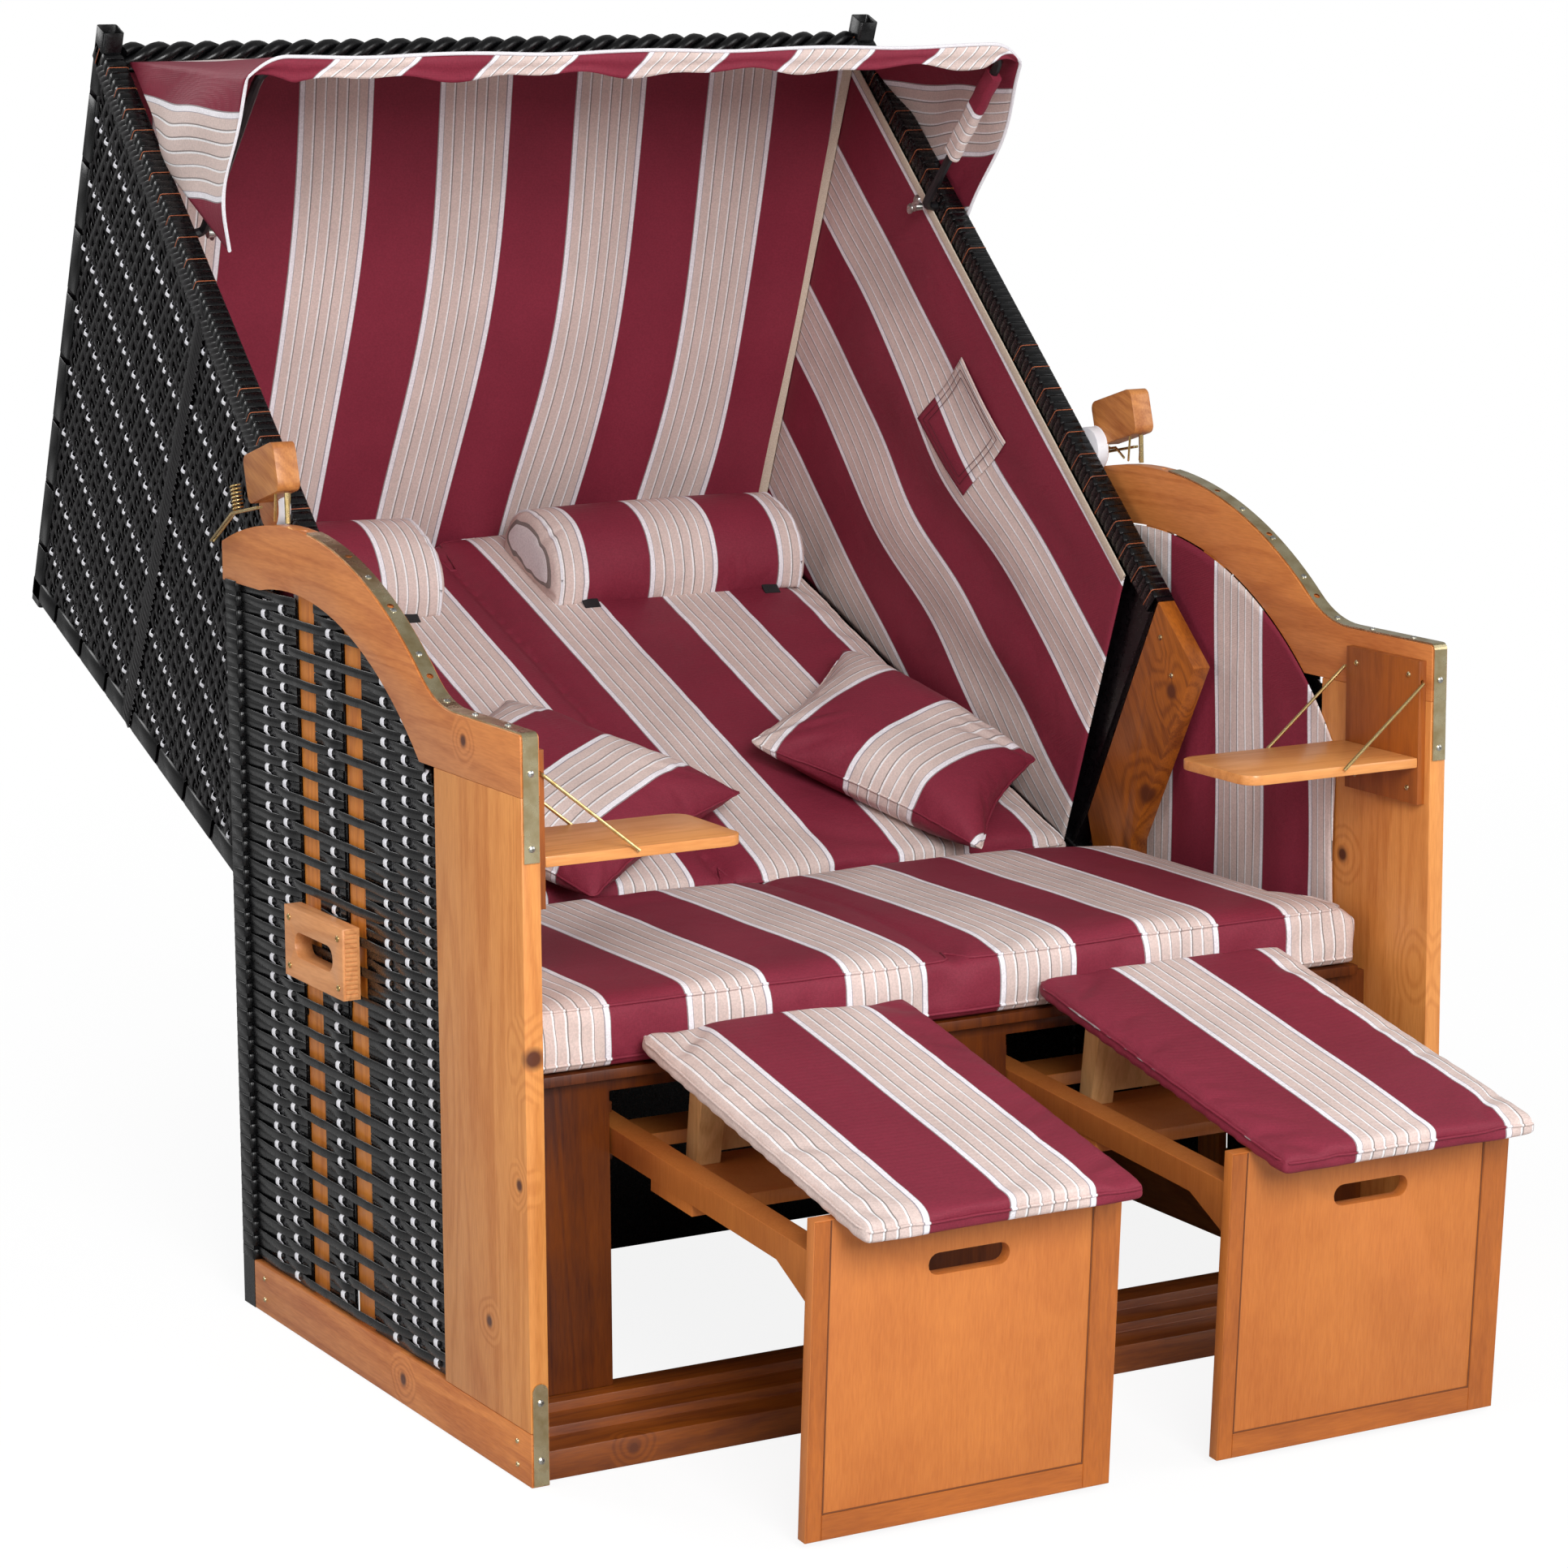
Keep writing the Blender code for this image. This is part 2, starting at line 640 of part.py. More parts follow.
def weave_panel(name, side, chair):
    front, back = POST_WIDTH + GAP, BACK_POST_FRONT - GAP
    bottom = SIDE_RAIL_HEIGHT + GAP
    outline = [(front, bottom), (back, bottom), (back, ARM_END_UP - GAP)]
    outline += arch_line(GAP) + [(front, ARM_UNDER_UP - GAP)]
    side_prism(name, side, outline, WEAVE_IN, WEAVE_OUT, "weave", chair)


def slats(name, side, chair):
    """Two upright slats and the cleat between them, which carries the pivot bolt and the handle."""
    bottom = SIDE_RAIL_HEIGHT + GAP
    low, high = PIVOT_UP - CLEAT_HEIGHT / 2, PIVOT_UP + CLEAT_HEIGHT / 2
    front_end, back_end = SLAT_FRONT + SLAT_WIDTH, SLAT_BACK + SLAT_WIDTH
    cleat_end = max(back_end, PIVOT_BACK + CLEAT_END)
    outline = [(SLAT_FRONT, bottom), (front_end, bottom), (front_end, low), (SLAT_BACK, low),
               (SLAT_BACK, bottom), (back_end, bottom), (back_end, low), (cleat_end, low),
               (cleat_end, high), (back_end, high), (back_end, arch_up(back_end, GAP)),
               (SLAT_BACK, arch_up(SLAT_BACK, GAP)), (SLAT_BACK, high), (front_end, high),
               (front_end, arch_up(front_end, GAP)), (SLAT_FRONT, arch_up(SLAT_FRONT, GAP))]
    pair = side_prism(name, side, outline, SLAT_IN, SLAT_OUT, "wood", chair)
    cut(pair, bolt_hole(name, side, SLAT_IN, SLAT_OUT, (PIVOT_BACK, PIVOT_UP), chair))


def bolt_hole(name, side, inner, outer, place, parent):
    ends = []
    for x in (inner - OVERRUN, outer + OVERRUN):
        ends.append((side * x, *place))
    return rod(f"{name}_bolt_hole", ends[0], ends[1], BOLT_RADIUS + BOLT_CLEAR, None, parent, ROUND_SIDES)


def side_lining(name, side, chair):
    """Cloth on the inside of the side frame, with shallow upright folds under the arch."""
    back = BACK_POST_FRONT - RUNNING
    depth = back - LINING_FRONT

    def surface(outward):
        def point(s, t):
            y = LINING_FRONT + depth * s
            top = arch_up(y, RUNNING)
            fold = LINING_FOLD * (1 - cos(2 * pi * LINING_FOLDS * s)) / 2
            inward = fold + (0 if outward else LINING_THICKNESS)
            return (side * (INSIDE - inward), y, LINING_BOTTOM + (top - LINING_BOTTOM) * t)
        return point

    slab(name, even_shares(LINING_FOLDS * 4), even_shares(3), surface(True), surface(False),
         "maroon_cloth", chair)


def carry_handle(name, side, chair):
    inner = WEAVE_OUT + GAP
    outline = rectangle(HANDLE_FRONT, HANDLE_UP, HANDLE_FRONT + HANDLE_LENGTH, HANDLE_UP + HANDLE_HEIGHT)
    handle = side_prism(name, side, outline, inner, inner + HANDLE_DEPTH, "wood", chair)
    slot_front = HANDLE_FRONT + (HANDLE_LENGTH - HANDLE_SLOT_LENGTH) / 2
    slot_bottom = HANDLE_UP + (HANDLE_HEIGHT - HANDLE_SLOT_HEIGHT) / 2
    slot = rounded_rectangle(slot_front, slot_bottom, slot_front + HANDLE_SLOT_LENGTH,
                             slot_bottom + HANDLE_SLOT_HEIGHT, HANDLE_SLOT_HEIGHT / 2 - GAP)
    cut(handle, side_prism(f"{name}_slot", side, slot, inner - OVERRUN, inner + HANDLE_DEPTH + OVERRUN,
                           None, chair))


def pivot_bolt(name, side, chair):
    """The bolt that the hood turns on, with its head inside and a spacer between hood and cleat."""
    head_out = HOOD_FREE
    spacer_in, spacer_out = HOOD_HALF + GAP, INNER
    profile = [(head_out - BOLT_HEAD_HEIGHT, BOLT_HEAD / 2), (head_out - BOLT_HEAD_HEIGHT / 2, BOLT_HEAD),
               (head_out, BOLT_HEAD), (head_out, BOLT_RADIUS), (spacer_in, BOLT_RADIUS),
               (spacer_in, BOLT_HEAD), (spacer_out, BOLT_HEAD), (spacer_out, BOLT_RADIUS),
               (SLAT_OUT - GAP, BOLT_RADIUS)]
    turned(name, [(side * x, radius) for x, radius in profile], (PIVOT_BACK, PIVOT_UP), "steel", chair)


# Side tables

def table_plate(name, side, chair):
    outline = rectangle(TABLE_PLATE_FRONT, TABLE_PLATE_UP, TABLE_PLATE_FRONT + TABLE_PLATE_WIDTH,
                        TABLE_PLATE_UP + TABLE_PLATE_HEIGHT)
    plate = side_prism(name, side, outline, TABLE_PLATE_IN, INSIDE, "wood", chair)
    start = (side * WIRE_AXIS, TABLE_PLATE_FRONT - OVERRUN, WIRE_UP)
    end = (side * WIRE_AXIS, TABLE_PLATE_FRONT + TABLE_PLATE_WIDTH + OVERRUN, WIRE_UP)
    cut(plate, rod(f"{name}_bore", start, end, WIRE_BORE, None, chair))


def table_leaf(name, side, chair):
    """The folding leaf, drawn on its hinge line, with its two free corners rounded off."""
    hinge = empty(f"{name}_hinge", chair, (side * LEAF_HINGE, 0, TABLE_LEAF_UP))
    front = TABLE_PLATE_FRONT
    back = TABLE_PLATE_FRONT + TABLE_PLATE_WIDTH + TABLE_LEAF_OVERHANG
    free = TABLE_LEAF_LENGTH - TABLE_LEAF_CORNER
    outline = [(0, front), (0, back)]
    outline += arc(-free, back - TABLE_LEAF_CORNER, TABLE_LEAF_CORNER, pi / 2, pi, CORNER_STEPS)
    outline += arc(-free, front + TABLE_LEAF_CORNER, TABLE_LEAF_CORNER, pi, 3 * pi / 2, CORNER_STEPS)
    outline = [(side * x, y) for x, y in outline]
    prism(name, outline, 0, TABLE_LEAF_THICKNESS, "light_wood", hinge, axis="z")


def table_rods(name, side, chair):
    """One brass wire: a bar through the plate's bore and two legs that hold the leaf by its edges."""
    axis = empty(f"{name}_axis", chair, (side * WIRE_AXIS, 0, WIRE_UP))
    stand_off = WIRE_RADIUS * 2 + GAP
    front = TABLE_PLATE_FRONT - stand_off
    back = TABLE_PLATE_FRONT + TABLE_PLATE_WIDTH + TABLE_LEAF_OVERHANG + stand_off
    foot = (-side * WIRE_REACH, -WIRE_DROP)
    points = [(foot[0], front, foot[1]), (0, front, 0), (0, back, 0), (foot[0], back, foot[1])]
    tube(name, bent_path(points, stand_off), WIRE_RADIUS, "brass", axis)


# Seat and the frame under it

def seat_half(back, wide, narrow):
    """Half the width of the seat, which narrows behind the front so that the hood can pass."""
    share = min(max((back - SEAT_WAIST) / SEAT_TAPER, 0), 1)
    return wide + (narrow - wide) * share


def seat_deck(chair):
    half = [(SEAT_WIDE, DECK_FRONT), (SEAT_WIDE, SEAT_WAIST), (SEAT_NARROW, SEAT_WAIST + SEAT_TAPER),
            (SEAT_NARROW, DECK_BACK)]
    outline = half + [(-x, y) for x, y in reversed(half)]
    prism("seat_deck", outline, DECK_UP, DECK_TOP, "light_wood", chair, axis="z")


def seat_slope(back):
    """Height of the line that keeps the seat under the backrest's lower end when the hood is upright."""
    upright = HOOD_RECLINE + HOOD_RANGE
    corner = (PIVOT_BACK + BACKREST_START * cos(upright) - BACKREST_FACE * sin(upright),
              PIVOT_UP + BACKREST_START * sin(upright) + BACKREST_FACE * cos(upright))
    fall = cos(upright) / sin(upright)
    return corner[1] - SEAT_CLEAR - fall * (back - corner[0])


def seat_cushion(chair):
    depth = SEAT_BACK - SEAT_FRONT

    def plan(s, t):
        y = SEAT_FRONT + depth * t
        drawn = SEAT_DRAWN_IN * sin(pi * t)
        x = (2 * s - 1) * (seat_half(y, SEAT_WIDE, SEAT_NARROW) - drawn)
        return x, y

    def upper(s, t):
        x, y = plan(s, t)
        half = seat_half(y, SEAT_WIDE, SEAT_NARROW)
        shoulder = rounding(half - abs(x), SEAT_SHOULDER) * rounding(depth * t, SEAT_SHOULDER)
        crown = SEAT_CROWN * (1 - (2 * s - 1) ** 2) * min(4 * t * (1 - t) + SEAT_CROWN_END_SHARE, 1)
        crease = SEAT_CREASE * (1 - rounding(abs(x), SEAT_SHOULDER))
        height = SEAT_TOP - SEAT_CROWN - SEAT_SHOULDER * (1 - shoulder) + crown - crease
        return (x, y, min(height, seat_slope(y)))

    def lower(s, t):
        x, y = plan(s, t)
        return (x, y, SEAT_BASE)

    side_shares = edged_shares(12, 2 * SEAT_WIDE, SEAT_SHOULDER)
    crease_share = SEAT_SHOULDER / (4 * SEAT_WIDE)
    middle = [share for share in side_shares if abs(share - 0.5) > crease_share]
    across = sorted(middle + [0.5 - crease_share, 0.5, 0.5 + crease_share])
    slab("seat_cushion", across, edged_shares(14, depth, SEAT_SHOULDER), upper, lower, "maroon_cloth", chair)


def front_rail(chair):
    """The stepped rail between the side frames: three boards, each a little higher than the last."""
    outline = [(FRONT_RAIL_START, 0)]
    for index in range(FRONT_RAIL_BOARDS):
        start = FRONT_RAIL_START + FRONT_RAIL_BOARD_DEPTH * index
        height = FRONT_RAIL_HEIGHT + FRONT_RAIL_RISE * index
        outline += [(start, height), (start + FRONT_RAIL_BOARD_DEPTH, height)]
    outline.append((FRONT_RAIL_START + FRONT_RAIL_DEPTH, 0))
    prism("front_rail", outline, -INSIDE, INSIDE, "wood", chair)


def seat_front_frame(chair):
    """Three stiles and the rail over them, which leave a bay for each drawer."""
    bottom = FRONT_RAIL_TOP + GAP
    top = DECK_UP - GAP
    rail = top - FRONT_RAIL_DROP
    half = [(BAY_IN, bottom), (BAY_IN, rail), (BAY_OUT, rail), (BAY_OUT, bottom), (INSIDE, bottom),
            (INSIDE, top)]
    outline = half + [(-x, z) for x, z in reversed(half)]
    prism("seat_front_frame", outline, STILE_FRONT, STILE_BACK, "wood", chair, axis="y")


def back_panel(chair):
    bm = bmesh.new()
    outline = rectangle(-INSIDE, 0, INSIDE, BACK_PANEL_HEIGHT)
    back = BACK_PANEL_FRONT + BACK_PANEL_THICKNESS
    faces = prism_mesh(bm, outline, BACK_PANEL_FRONT, back, axis="y")
    bmesh.ops.recalc_face_normals(bm, faces=bm.faces)
    bmesh.ops.inset_individual(bm, faces=[faces[1]], thickness=BACK_PANEL_BAR, depth=-BACK_PANEL_RECESS)
    make_object("back_panel", bm, "weave", chair)


def runner_frame(name, side, chair):
    """Two upright runners behind the front frame, each with a ledge under a drawer rail and a
    kicker over its back end, and the bar that joins them. They also carry the seat deck."""
    front = STILE_BACK + GAP
    back = BACK_PANEL_FRONT - GAP
    slope = tan(DRAWER_DROOP)
    thickness = DRAWER_RAIL / cos(DRAWER_DROOP)
    ledge_top = DRAWER_UP + slope * (front - DRAWER_BACK) - thickness - GAP
    kicker_bottom = DRAWER_UP + DRAWER_RAIL_LENGTH * sin(DRAWER_DROOP) + GAP
    low = ledge_top - LEDGE_THICKNESS
    kicker_top = kicker_bottom + LEDGE_THICKNESS
    top = DECK_UP - GAP
    outer = [(BAY_OUT + RUNNER, low), (BAY_OUT + RUNNER, top), (BAY_OUT, top), (BAY_OUT, kicker_top),
             (BAY_OUT - LEDGE, kicker_top), (BAY_OUT - LEDGE, kicker_bottom), (BAY_OUT, kicker_bottom),
             (BAY_OUT, ledge_top), (BAY_OUT - LEDGE, ledge_top), (BAY_OUT - LEDGE, low)]
    inner = [(BAY_OUT + BAY_IN - x, z) for x, z in outer]
    frame = prism(name, [(side * x, z) for x, z in outer], front, back, "wood", chair, axis="y")
    other = prism(f"{name}_inner", [(side * x, z) for x, z in inner], front, back, None, chair, axis="y")
    bar = side_prism(f"{name}_bar", side, rectangle(back - RUNNER_BAR, low - LEDGE_THICKNESS, back - OVERRUN,
                                                    low + OVERRUN), BAY_IN - RUNNER / 2,
                     BAY_OUT + RUNNER / 2, None, chair)
    join(frame, bar)
    join(frame, other)


# Drawers, footrests and props

def drawer_frame(side_name, chair):
    return empty(f"drawer_{side_name}", chair, (0, DRAWER_BACK, DRAWER_UP), DRAWER_DROOP)


def footrest_frame(name, side, drawer):
    """The drawer: a front panel with a grip slot, two long rails with braces, and battens under them."""
    panel_outer = RAIL_OUT + PANEL_LAP
    panel_inner = RAIL_IN - PANEL_LAP
    outline = rectangle(-PANEL_THICKNESS, -PANEL_DROP, 0, PANEL_TOP)
    frame = side_prism(name, side, outline, panel_inner, panel_outer, "wood", drawer)
    for label, edge in (("outer", RAIL_OUT - DRAWER_RAIL), ("inner", RAIL_IN)):
        profile = [(-OVERRUN, 0), (DRAWER_RAIL_LENGTH, 0), (DRAWER_RAIL_LENGTH, -DRAWER_RAIL),
                   (BRACE_LENGTH, -DRAWER_RAIL), (-OVERRUN, -BRACE_DROP)]
        rail = side_prism(f"{name}_{label}_rail", side, profile, edge, edge + DRAWER_RAIL, None, drawer)
        join(frame, rail)
    under = -DRAWER_RAIL
    front_batten = rectangle(BATTEN_FRONT, under - BATTEN_THICKNESS, BATTEN_FRONT + BATTEN_WIDTH,
                             under + OVERRUN)
    rear = BATTEN_FRONT + BATTEN_STEP
    rear_batten = rectangle(rear, under - BATTEN_THICKNESS, rear + REAR_BATTEN_WIDTH, under + OVERRUN)
    join(frame, side_prism(f"{name}_batten", side, front_batten, RAIL_IN + OVERRUN, RAIL_OUT - OVERRUN,
                           None, drawer))
    join(frame, side_prism(f"{name}_rear_batten", side, rear_batten, RAIL_IN + LEDGE + OVERRUN,
                           RAIL_OUT - LEDGE - OVERRUN, None, drawer))
    span = prop_span()
    rest_top = under + OVERRUN / 2
    rest = rectangle(BATTEN_FRONT + BATTEN_WIDTH - OVERRUN, rest_top - BATTEN_THICKNESS,
                     BATTEN_FRONT + BATTEN_WIDTH + REST_WIDTH, rest_top)
    join(frame, side_prism(f"{name}_foot_rest", side, rest, BAY_MIDDLE - span / 2 - OVERRUN,
                           BAY_MIDDLE + span / 2 + OVERRUN, None, drawer))
    slot_bottom = PANEL_TOP - PANEL_SLOT_DROP - PANEL_SLOT_HEIGHT
    slot = rounded_rectangle(BAY_MIDDLE - PANEL_SLOT_LENGTH / 2, slot_bottom,
                             BAY_MIDDLE + PANEL_SLOT_LENGTH / 2, slot_bottom + PANEL_SLOT_HEIGHT,
                             PANEL_SLOT_HEIGHT / 2 - GAP)
    cut(frame, prism(f"{name}_slot", [(side * x, z) for x, z in slot], -PANEL_THICKNESS - OVERRUN, OVERRUN,
                     None, drawer, axis="y"))


def board_axis(side_name, drawer):
    """The footrest board's hinge line, at the top front corner of the drawer's panel."""
    return empty(f"board_axis_{side_name}", drawer, (0, -PANEL_THICKNESS, PANEL_TOP),
                 BOARD_TILT - DRAWER_DROOP)


def footrest_board(name, side, axis):
    """A padded board: firm and nearly flat, with rounded edges."""
    def plan(s, t):
        x = side * BAY_MIDDLE + BOARD_WIDTH * (s - 0.5)
        return x, BOARD_LENGTH * t - BOARD_OVERHANG

    def upper(s, t):
        x, y = plan(s, t)
        edge_x = BOARD_WIDTH * min(s, 1 - s)
        edge_y = BOARD_LENGTH * min(t, 1 - t)
        shoulder = rounding(edge_x, BOARD_SHOULDER) * rounding(edge_y, BOARD_SHOULDER)
        crown = BOARD_CROWN * 4 * s * (1 - s) * 4 * t * (1 - t)
        return (x, y, BOARD_THICKNESS - BOARD_CROWN - BOARD_SHOULDER * (1 - shoulder) + crown)

    def lower(s, t):
        x, y = plan(s, t)
        return (x, y, GAP)

    slab(name, edged_shares(5, BOARD_WIDTH, BOARD_SHOULDER), edged_shares(7, BOARD_LENGTH, BOARD_SHOULDER),
         upper, lower, "beige_cloth", axis)


def prop_span():
    """Distance over the two legs of a prop."""
    return (RAIL_OUT - RAIL_IN - 2 * DRAWER_RAIL) * PROP_SPAN_SHARE


def prop_reach():
    """Length of a prop, from its hinge to the drawer's foot rest."""
    tilt = BOARD_TILT - DRAWER_DROOP
    hinge_up = PANEL_TOP + PROP_HINGE_BACK * sin(tilt) - PROP_HINGE_DROP * cos(tilt)
    return hinge_up + DRAWER_RAIL - OVERRUN / 2 - GAP


def footrest_prop(name, side, axis):
    """A folding prop: two tapered legs and the cross board between them, hung under the board."""
    hinge = empty(f"{name}_hinge", axis, (0, PROP_HINGE_BACK, -PROP_HINGE_DROP), DRAWER_DROOP - BOARD_TILT)
    reach = prop_reach()
    half_foot = asin(PROP_FOOT / 2 / reach)
    straight = PROP_LEAN - pi / 2
    outline = arc(0, 0, PROP_TOP_RADIUS, straight - pi / 2, straight - 3 * pi / 2, CORNER_STEPS * 2)
    outline += arc(0, 0, reach, straight + half_foot, straight - half_foot, CORNER_STEPS)
    span = prop_span()
    near, far = BAY_MIDDLE - span / 2, BAY_MIDDLE + span / 2
    prop = side_prism(name, side, outline, near, near + PROP_LEG, "light_wood", hinge)
    join(prop, side_prism(f"{name}_leg", side, outline, far - PROP_LEG, far, None, hinge))
    bar = []
    low = PROP_FOOT / 2 - reach
    for up, half in ((low, -PROP_BAR_THICKNESS / 2), (low, PROP_BAR_THICKNESS / 2),
                     (low + PROP_BAR_HEIGHT, PROP_BAR_THICKNESS / 2),
                     (low + PROP_BAR_HEIGHT, -PROP_BAR_THICKNESS / 2)):
        bar.append((half - up * sin(PROP_LEAN), up))
    join(prop, side_prism(f"{name}_bar", side, bar, near + PROP_LEG / 2, far - PROP_LEG / 2, None, hinge))


# Hood

def edge_up(along):
    """Height of the hood's front edge over a place along the backrest."""
    return HOOD_TIP_UP + EDGE_SLOPE * (along + HOOD_TIP_BACK)


def roof_along(up, inset=0):
    """Place of the roof's outer face at a height, moved in by an inset."""
    return HOOD_CORNER_ALONG - ROOF_OUT_LEAN * up - inset


def board_rear(up, offset=0):
    """Rear edge of the hood's lower board at a height."""
    top_along = LOWER_BOARD_WIDTH - HOOD_TIP_BACK
    top_up = edge_up(top_along)
    share = (up - LOWER_BOARD_HEEL_UP) / (top_up - LOWER_BOARD_HEEL_UP)
    return LOWER_BOARD_HEEL + (top_along - LOWER_BOARD_HEEL) * share + offset


def hood_side(name, side, hood):
    """A framed side: outer bars and a mid stile stand proud of two woven fields."""
    heel = LOWER_BOARD_HEEL + GAP
    top = LOWER_BOARD_WIDTH - HOOD_TIP_BACK + GAP
    foot = (MID_STILE_FOOT, 0)
    head = (MID_STILE_HEAD, edge_up(MID_STILE_HEAD))
    outline = [(heel, LOWER_BOARD_HEEL_UP), (heel + LOWER_BOARD_HEEL_UP / 4, 0), foot,
               (HOOD_CORNER_ALONG - HOOD_CHAMFER, 0), (roof_along(HOOD_CHAMFER), HOOD_CHAMFER),
               (HOOD_APEX_ALONG, HOOD_APEX_UP), head, (top, edge_up(top))]
    bm = bmesh.new()
    inner_face, outer_face = prism_mesh(bm, outline, side * HOOD_IN, side * HOOD_HALF)
    bmesh.ops.recalc_face_normals(bm, faces=bm.faces)
    inner_fields = split_face(inner_face, foot, head)
    sink_fields(bm, split_face(outer_face, foot, head), inner_fields, HOOD_SIDE)
    make_object(name, bm, "weave", hood)


def split_face(face, foot, head):
    """Split a side face between the two corners nearest to the given places."""
    ends = []
    for u, v in (foot, head):
        ends.append(min(face.verts, key=lambda vert: hypot(vert.co.y - u, vert.co.z - v)))
    other, _ = bmesh.utils.face_split(face, ends[0], ends[1])
    return [face, other]


def sink_fields(bm, outer_faces, inner_faces, thickness):
    """Sink fields into both faces of a panel, which leaves its frame bars and a thin woven skin."""
    bmesh.ops.inset_individual(bm, faces=outer_faces, thickness=HOOD_BAR, depth=-HOOD_RECESS)
    hollow = thickness - HOOD_RECESS - HOOD_SKIN
    bmesh.ops.inset_individual(bm, faces=inner_faces, thickness=HOOD_BAR, depth=-hollow)


def hood_back(hood):
    """The woven back, which lies behind the backrest."""
    heel = LOWER_BOARD_HEEL + GAP + LOWER_BOARD_HEEL_UP / 4
    end = HOOD_CORNER_ALONG - HOOD_CHAMFER
    bm = bmesh.new()
    outer_face, inner_face = prism_mesh(bm, rectangle(-HOOD_FREE, heel, HOOD_FREE, end), 0, HOOD_PANEL, "z")
    bmesh.ops.recalc_face_normals(bm, faces=bm.faces)
    sink_fields(bm, [outer_face], [inner_face], HOOD_PANEL)
    make_object("hood_back", bm, "weave", hood)


def hood_roof(hood):
    """The woven roof, from the back to the top rail."""
    bottom = HOOD_PANEL + GAP
    top = HOOD_APEX_UP - 2 * TOP_RAIL_RADIUS - GAP
    bm = bmesh.new()
    outline = [(roof_along(bottom), bottom), (roof_along(top), top),
               (roof_along(top, HOOD_PANEL), top), (roof_along(bottom, HOOD_PANEL), bottom)]
    prism_mesh(bm, outline, -HOOD_FREE, HOOD_FREE)
    bmesh.ops.recalc_face_normals(bm, faces=bm.faces)
    outer_face = max(bm.faces, key=lambda face: face.calc_center_median().y)
    inner_face = min(bm.faces, key=lambda face: face.calc_center_median().y)
    sink_fields(bm, [outer_face], [inner_face], HOOD_PANEL)
    make_object("hood_roof", bm, "weave", hood)


def hood_top_rail(hood):
    radius = TOP_RAIL_RADIUS
    up = HOOD_APEX_UP - radius
    along = HOOD_APEX_ALONG - radius - GAP
    rod("hood_top_rail", (-HOOD_FREE, along, up), (HOOD_FREE, along, up), radius, "weave", hood, ROUND_SIDES)


def lower_board(name, side, hood):
    """The wooden board at the hood's front end, from the front edge's tip down to the pivot."""
    top_along = LOWER_BOARD_WIDTH - HOOD_TIP_BACK
    outline = [(-HOOD_TIP_BACK, HOOD_TIP_UP), (-LOWER_BOARD_FRONT, LOWER_BOARD_NECK_UP)]
    outline += arc(0, 0, LOWER_BOARD_FOOT, pi, 2 * pi, FILLET_STEPS)
    outline += [(LOWER_BOARD_HEEL, LOWER_BOARD_HEEL_UP), (top_along, edge_up(top_along))]
    board = side_prism(name, side, outline, HOOD_IN, HOOD_HALF, "wood", hood)
    cut(board, bolt_hole(name, side, HOOD_IN, HOOD_HALF, (0, 0), hood))


def roof_lining(hood):
    """Cloth under the roof, with soft folds that grow towards its lower end."""
    bottom, top = BACKREST_FACE + RUNNING, HOOD_APEX_UP - 2 * TOP_RAIL_RADIUS - RUNNING

    def surface(near_roof):
        def point(s, t):
            v = bottom + (top - bottom) * t
            fold = ROOF_FOLD * (1 - t / 2) * (1 - cos(2 * pi * ROOF_FOLDS * s)) / 2
            inset = HOOD_PANEL + GAP + fold + (0 if near_roof else CLOTH)
            return ((2 * s - 1) * (HOOD_FREE - HOOD_LINING_FOLD - CLOTH - RUNNING), roof_along(v, inset), v)
        return point

    slab("roof_lining", even_shares(ROOF_FOLDS * 5), even_shares(5), surface(True), surface(False),
         "maroon_cloth", hood)


def hood_lining(name, side, hood):
    """Cloth inside a hood side, with folds that run along the front edge."""
    start = LOWER_BOARD_HEEL + LINING_EDGE
    low = BACKREST_FACE + RUNNING
    lining_edge = LINING_EDGE / cos(EDGE_ANGLE)

    def surface(near_side):
        def point(s, t):
            roof_end = roof_along(low, HOOD_PANEL + ROOF_FOLD + CLOTH + RUNNING)
            u = start + (roof_end - start) * s
            v = low + (edge_up(u) - lining_edge - low) * t
            fold = HOOD_LINING_FOLD * (1 - cos(2 * pi * HOOD_LINING_FOLDS * t)) / 2
            inset = GAP + fold * s + (0 if near_side else CLOTH)
            return (side * (HOOD_IN - inset), u - ROOF_OUT_LEAN * v * s, v)
        return point

    slab(name, even_shares(6), even_shares(HOOD_LINING_FOLDS * 5), surface(True), surface(False),
         "maroon_cloth", hood)


# Backrest, neck rolls and scatter pillows

def backrest(hood):
    """Two padded halves with a deep crease between them."""
    length = BACKREST_END - BACKREST_START

    def plan(s, t):
        drawn = BACKREST_DRAWN_IN * sin(pi * t)
        return (2 * s - 1) * (BACKREST_HALF - drawn), BACKREST_START + length * t

    def upper(s, t):
        x, u = plan(s, t)
        edge = rounding((1 - abs(2 * s - 1)) * BACKREST_HALF, BACKREST_SHOULDER)
        end = rounding(length * min(t, 1 - t), BACKREST_SHOULDER)
        crease = BACKREST_CREASE * (1 - rounding(abs(x), 2 * BACKREST_SHOULDER))
        return (x, u, BACKREST_FACE - BACKREST_SHOULDER * (1 - edge * end) - crease)

    def lower(s, t):
        x, u = plan(s, t)
        return (x, u, HOOD_PANEL + GAP)

    crease_share = BACKREST_SHOULDER / BACKREST_HALF / 2
    outer = edged_shares(8, 2 * BACKREST_HALF, BACKREST_SHOULDER)
    sides = [share for share in outer if abs(share - 0.5) > 2 * crease_share]
    shares = [0.5 - 2 * crease_share, 0.5 - crease_share, 0.5, 0.5 + crease_share, 0.5 + 2 * crease_share]
    slab("backrest", sorted(sides + shares), edged_shares(9, length, BACKREST_SHOULDER), upper, lower,
         "maroon_cloth", hood)


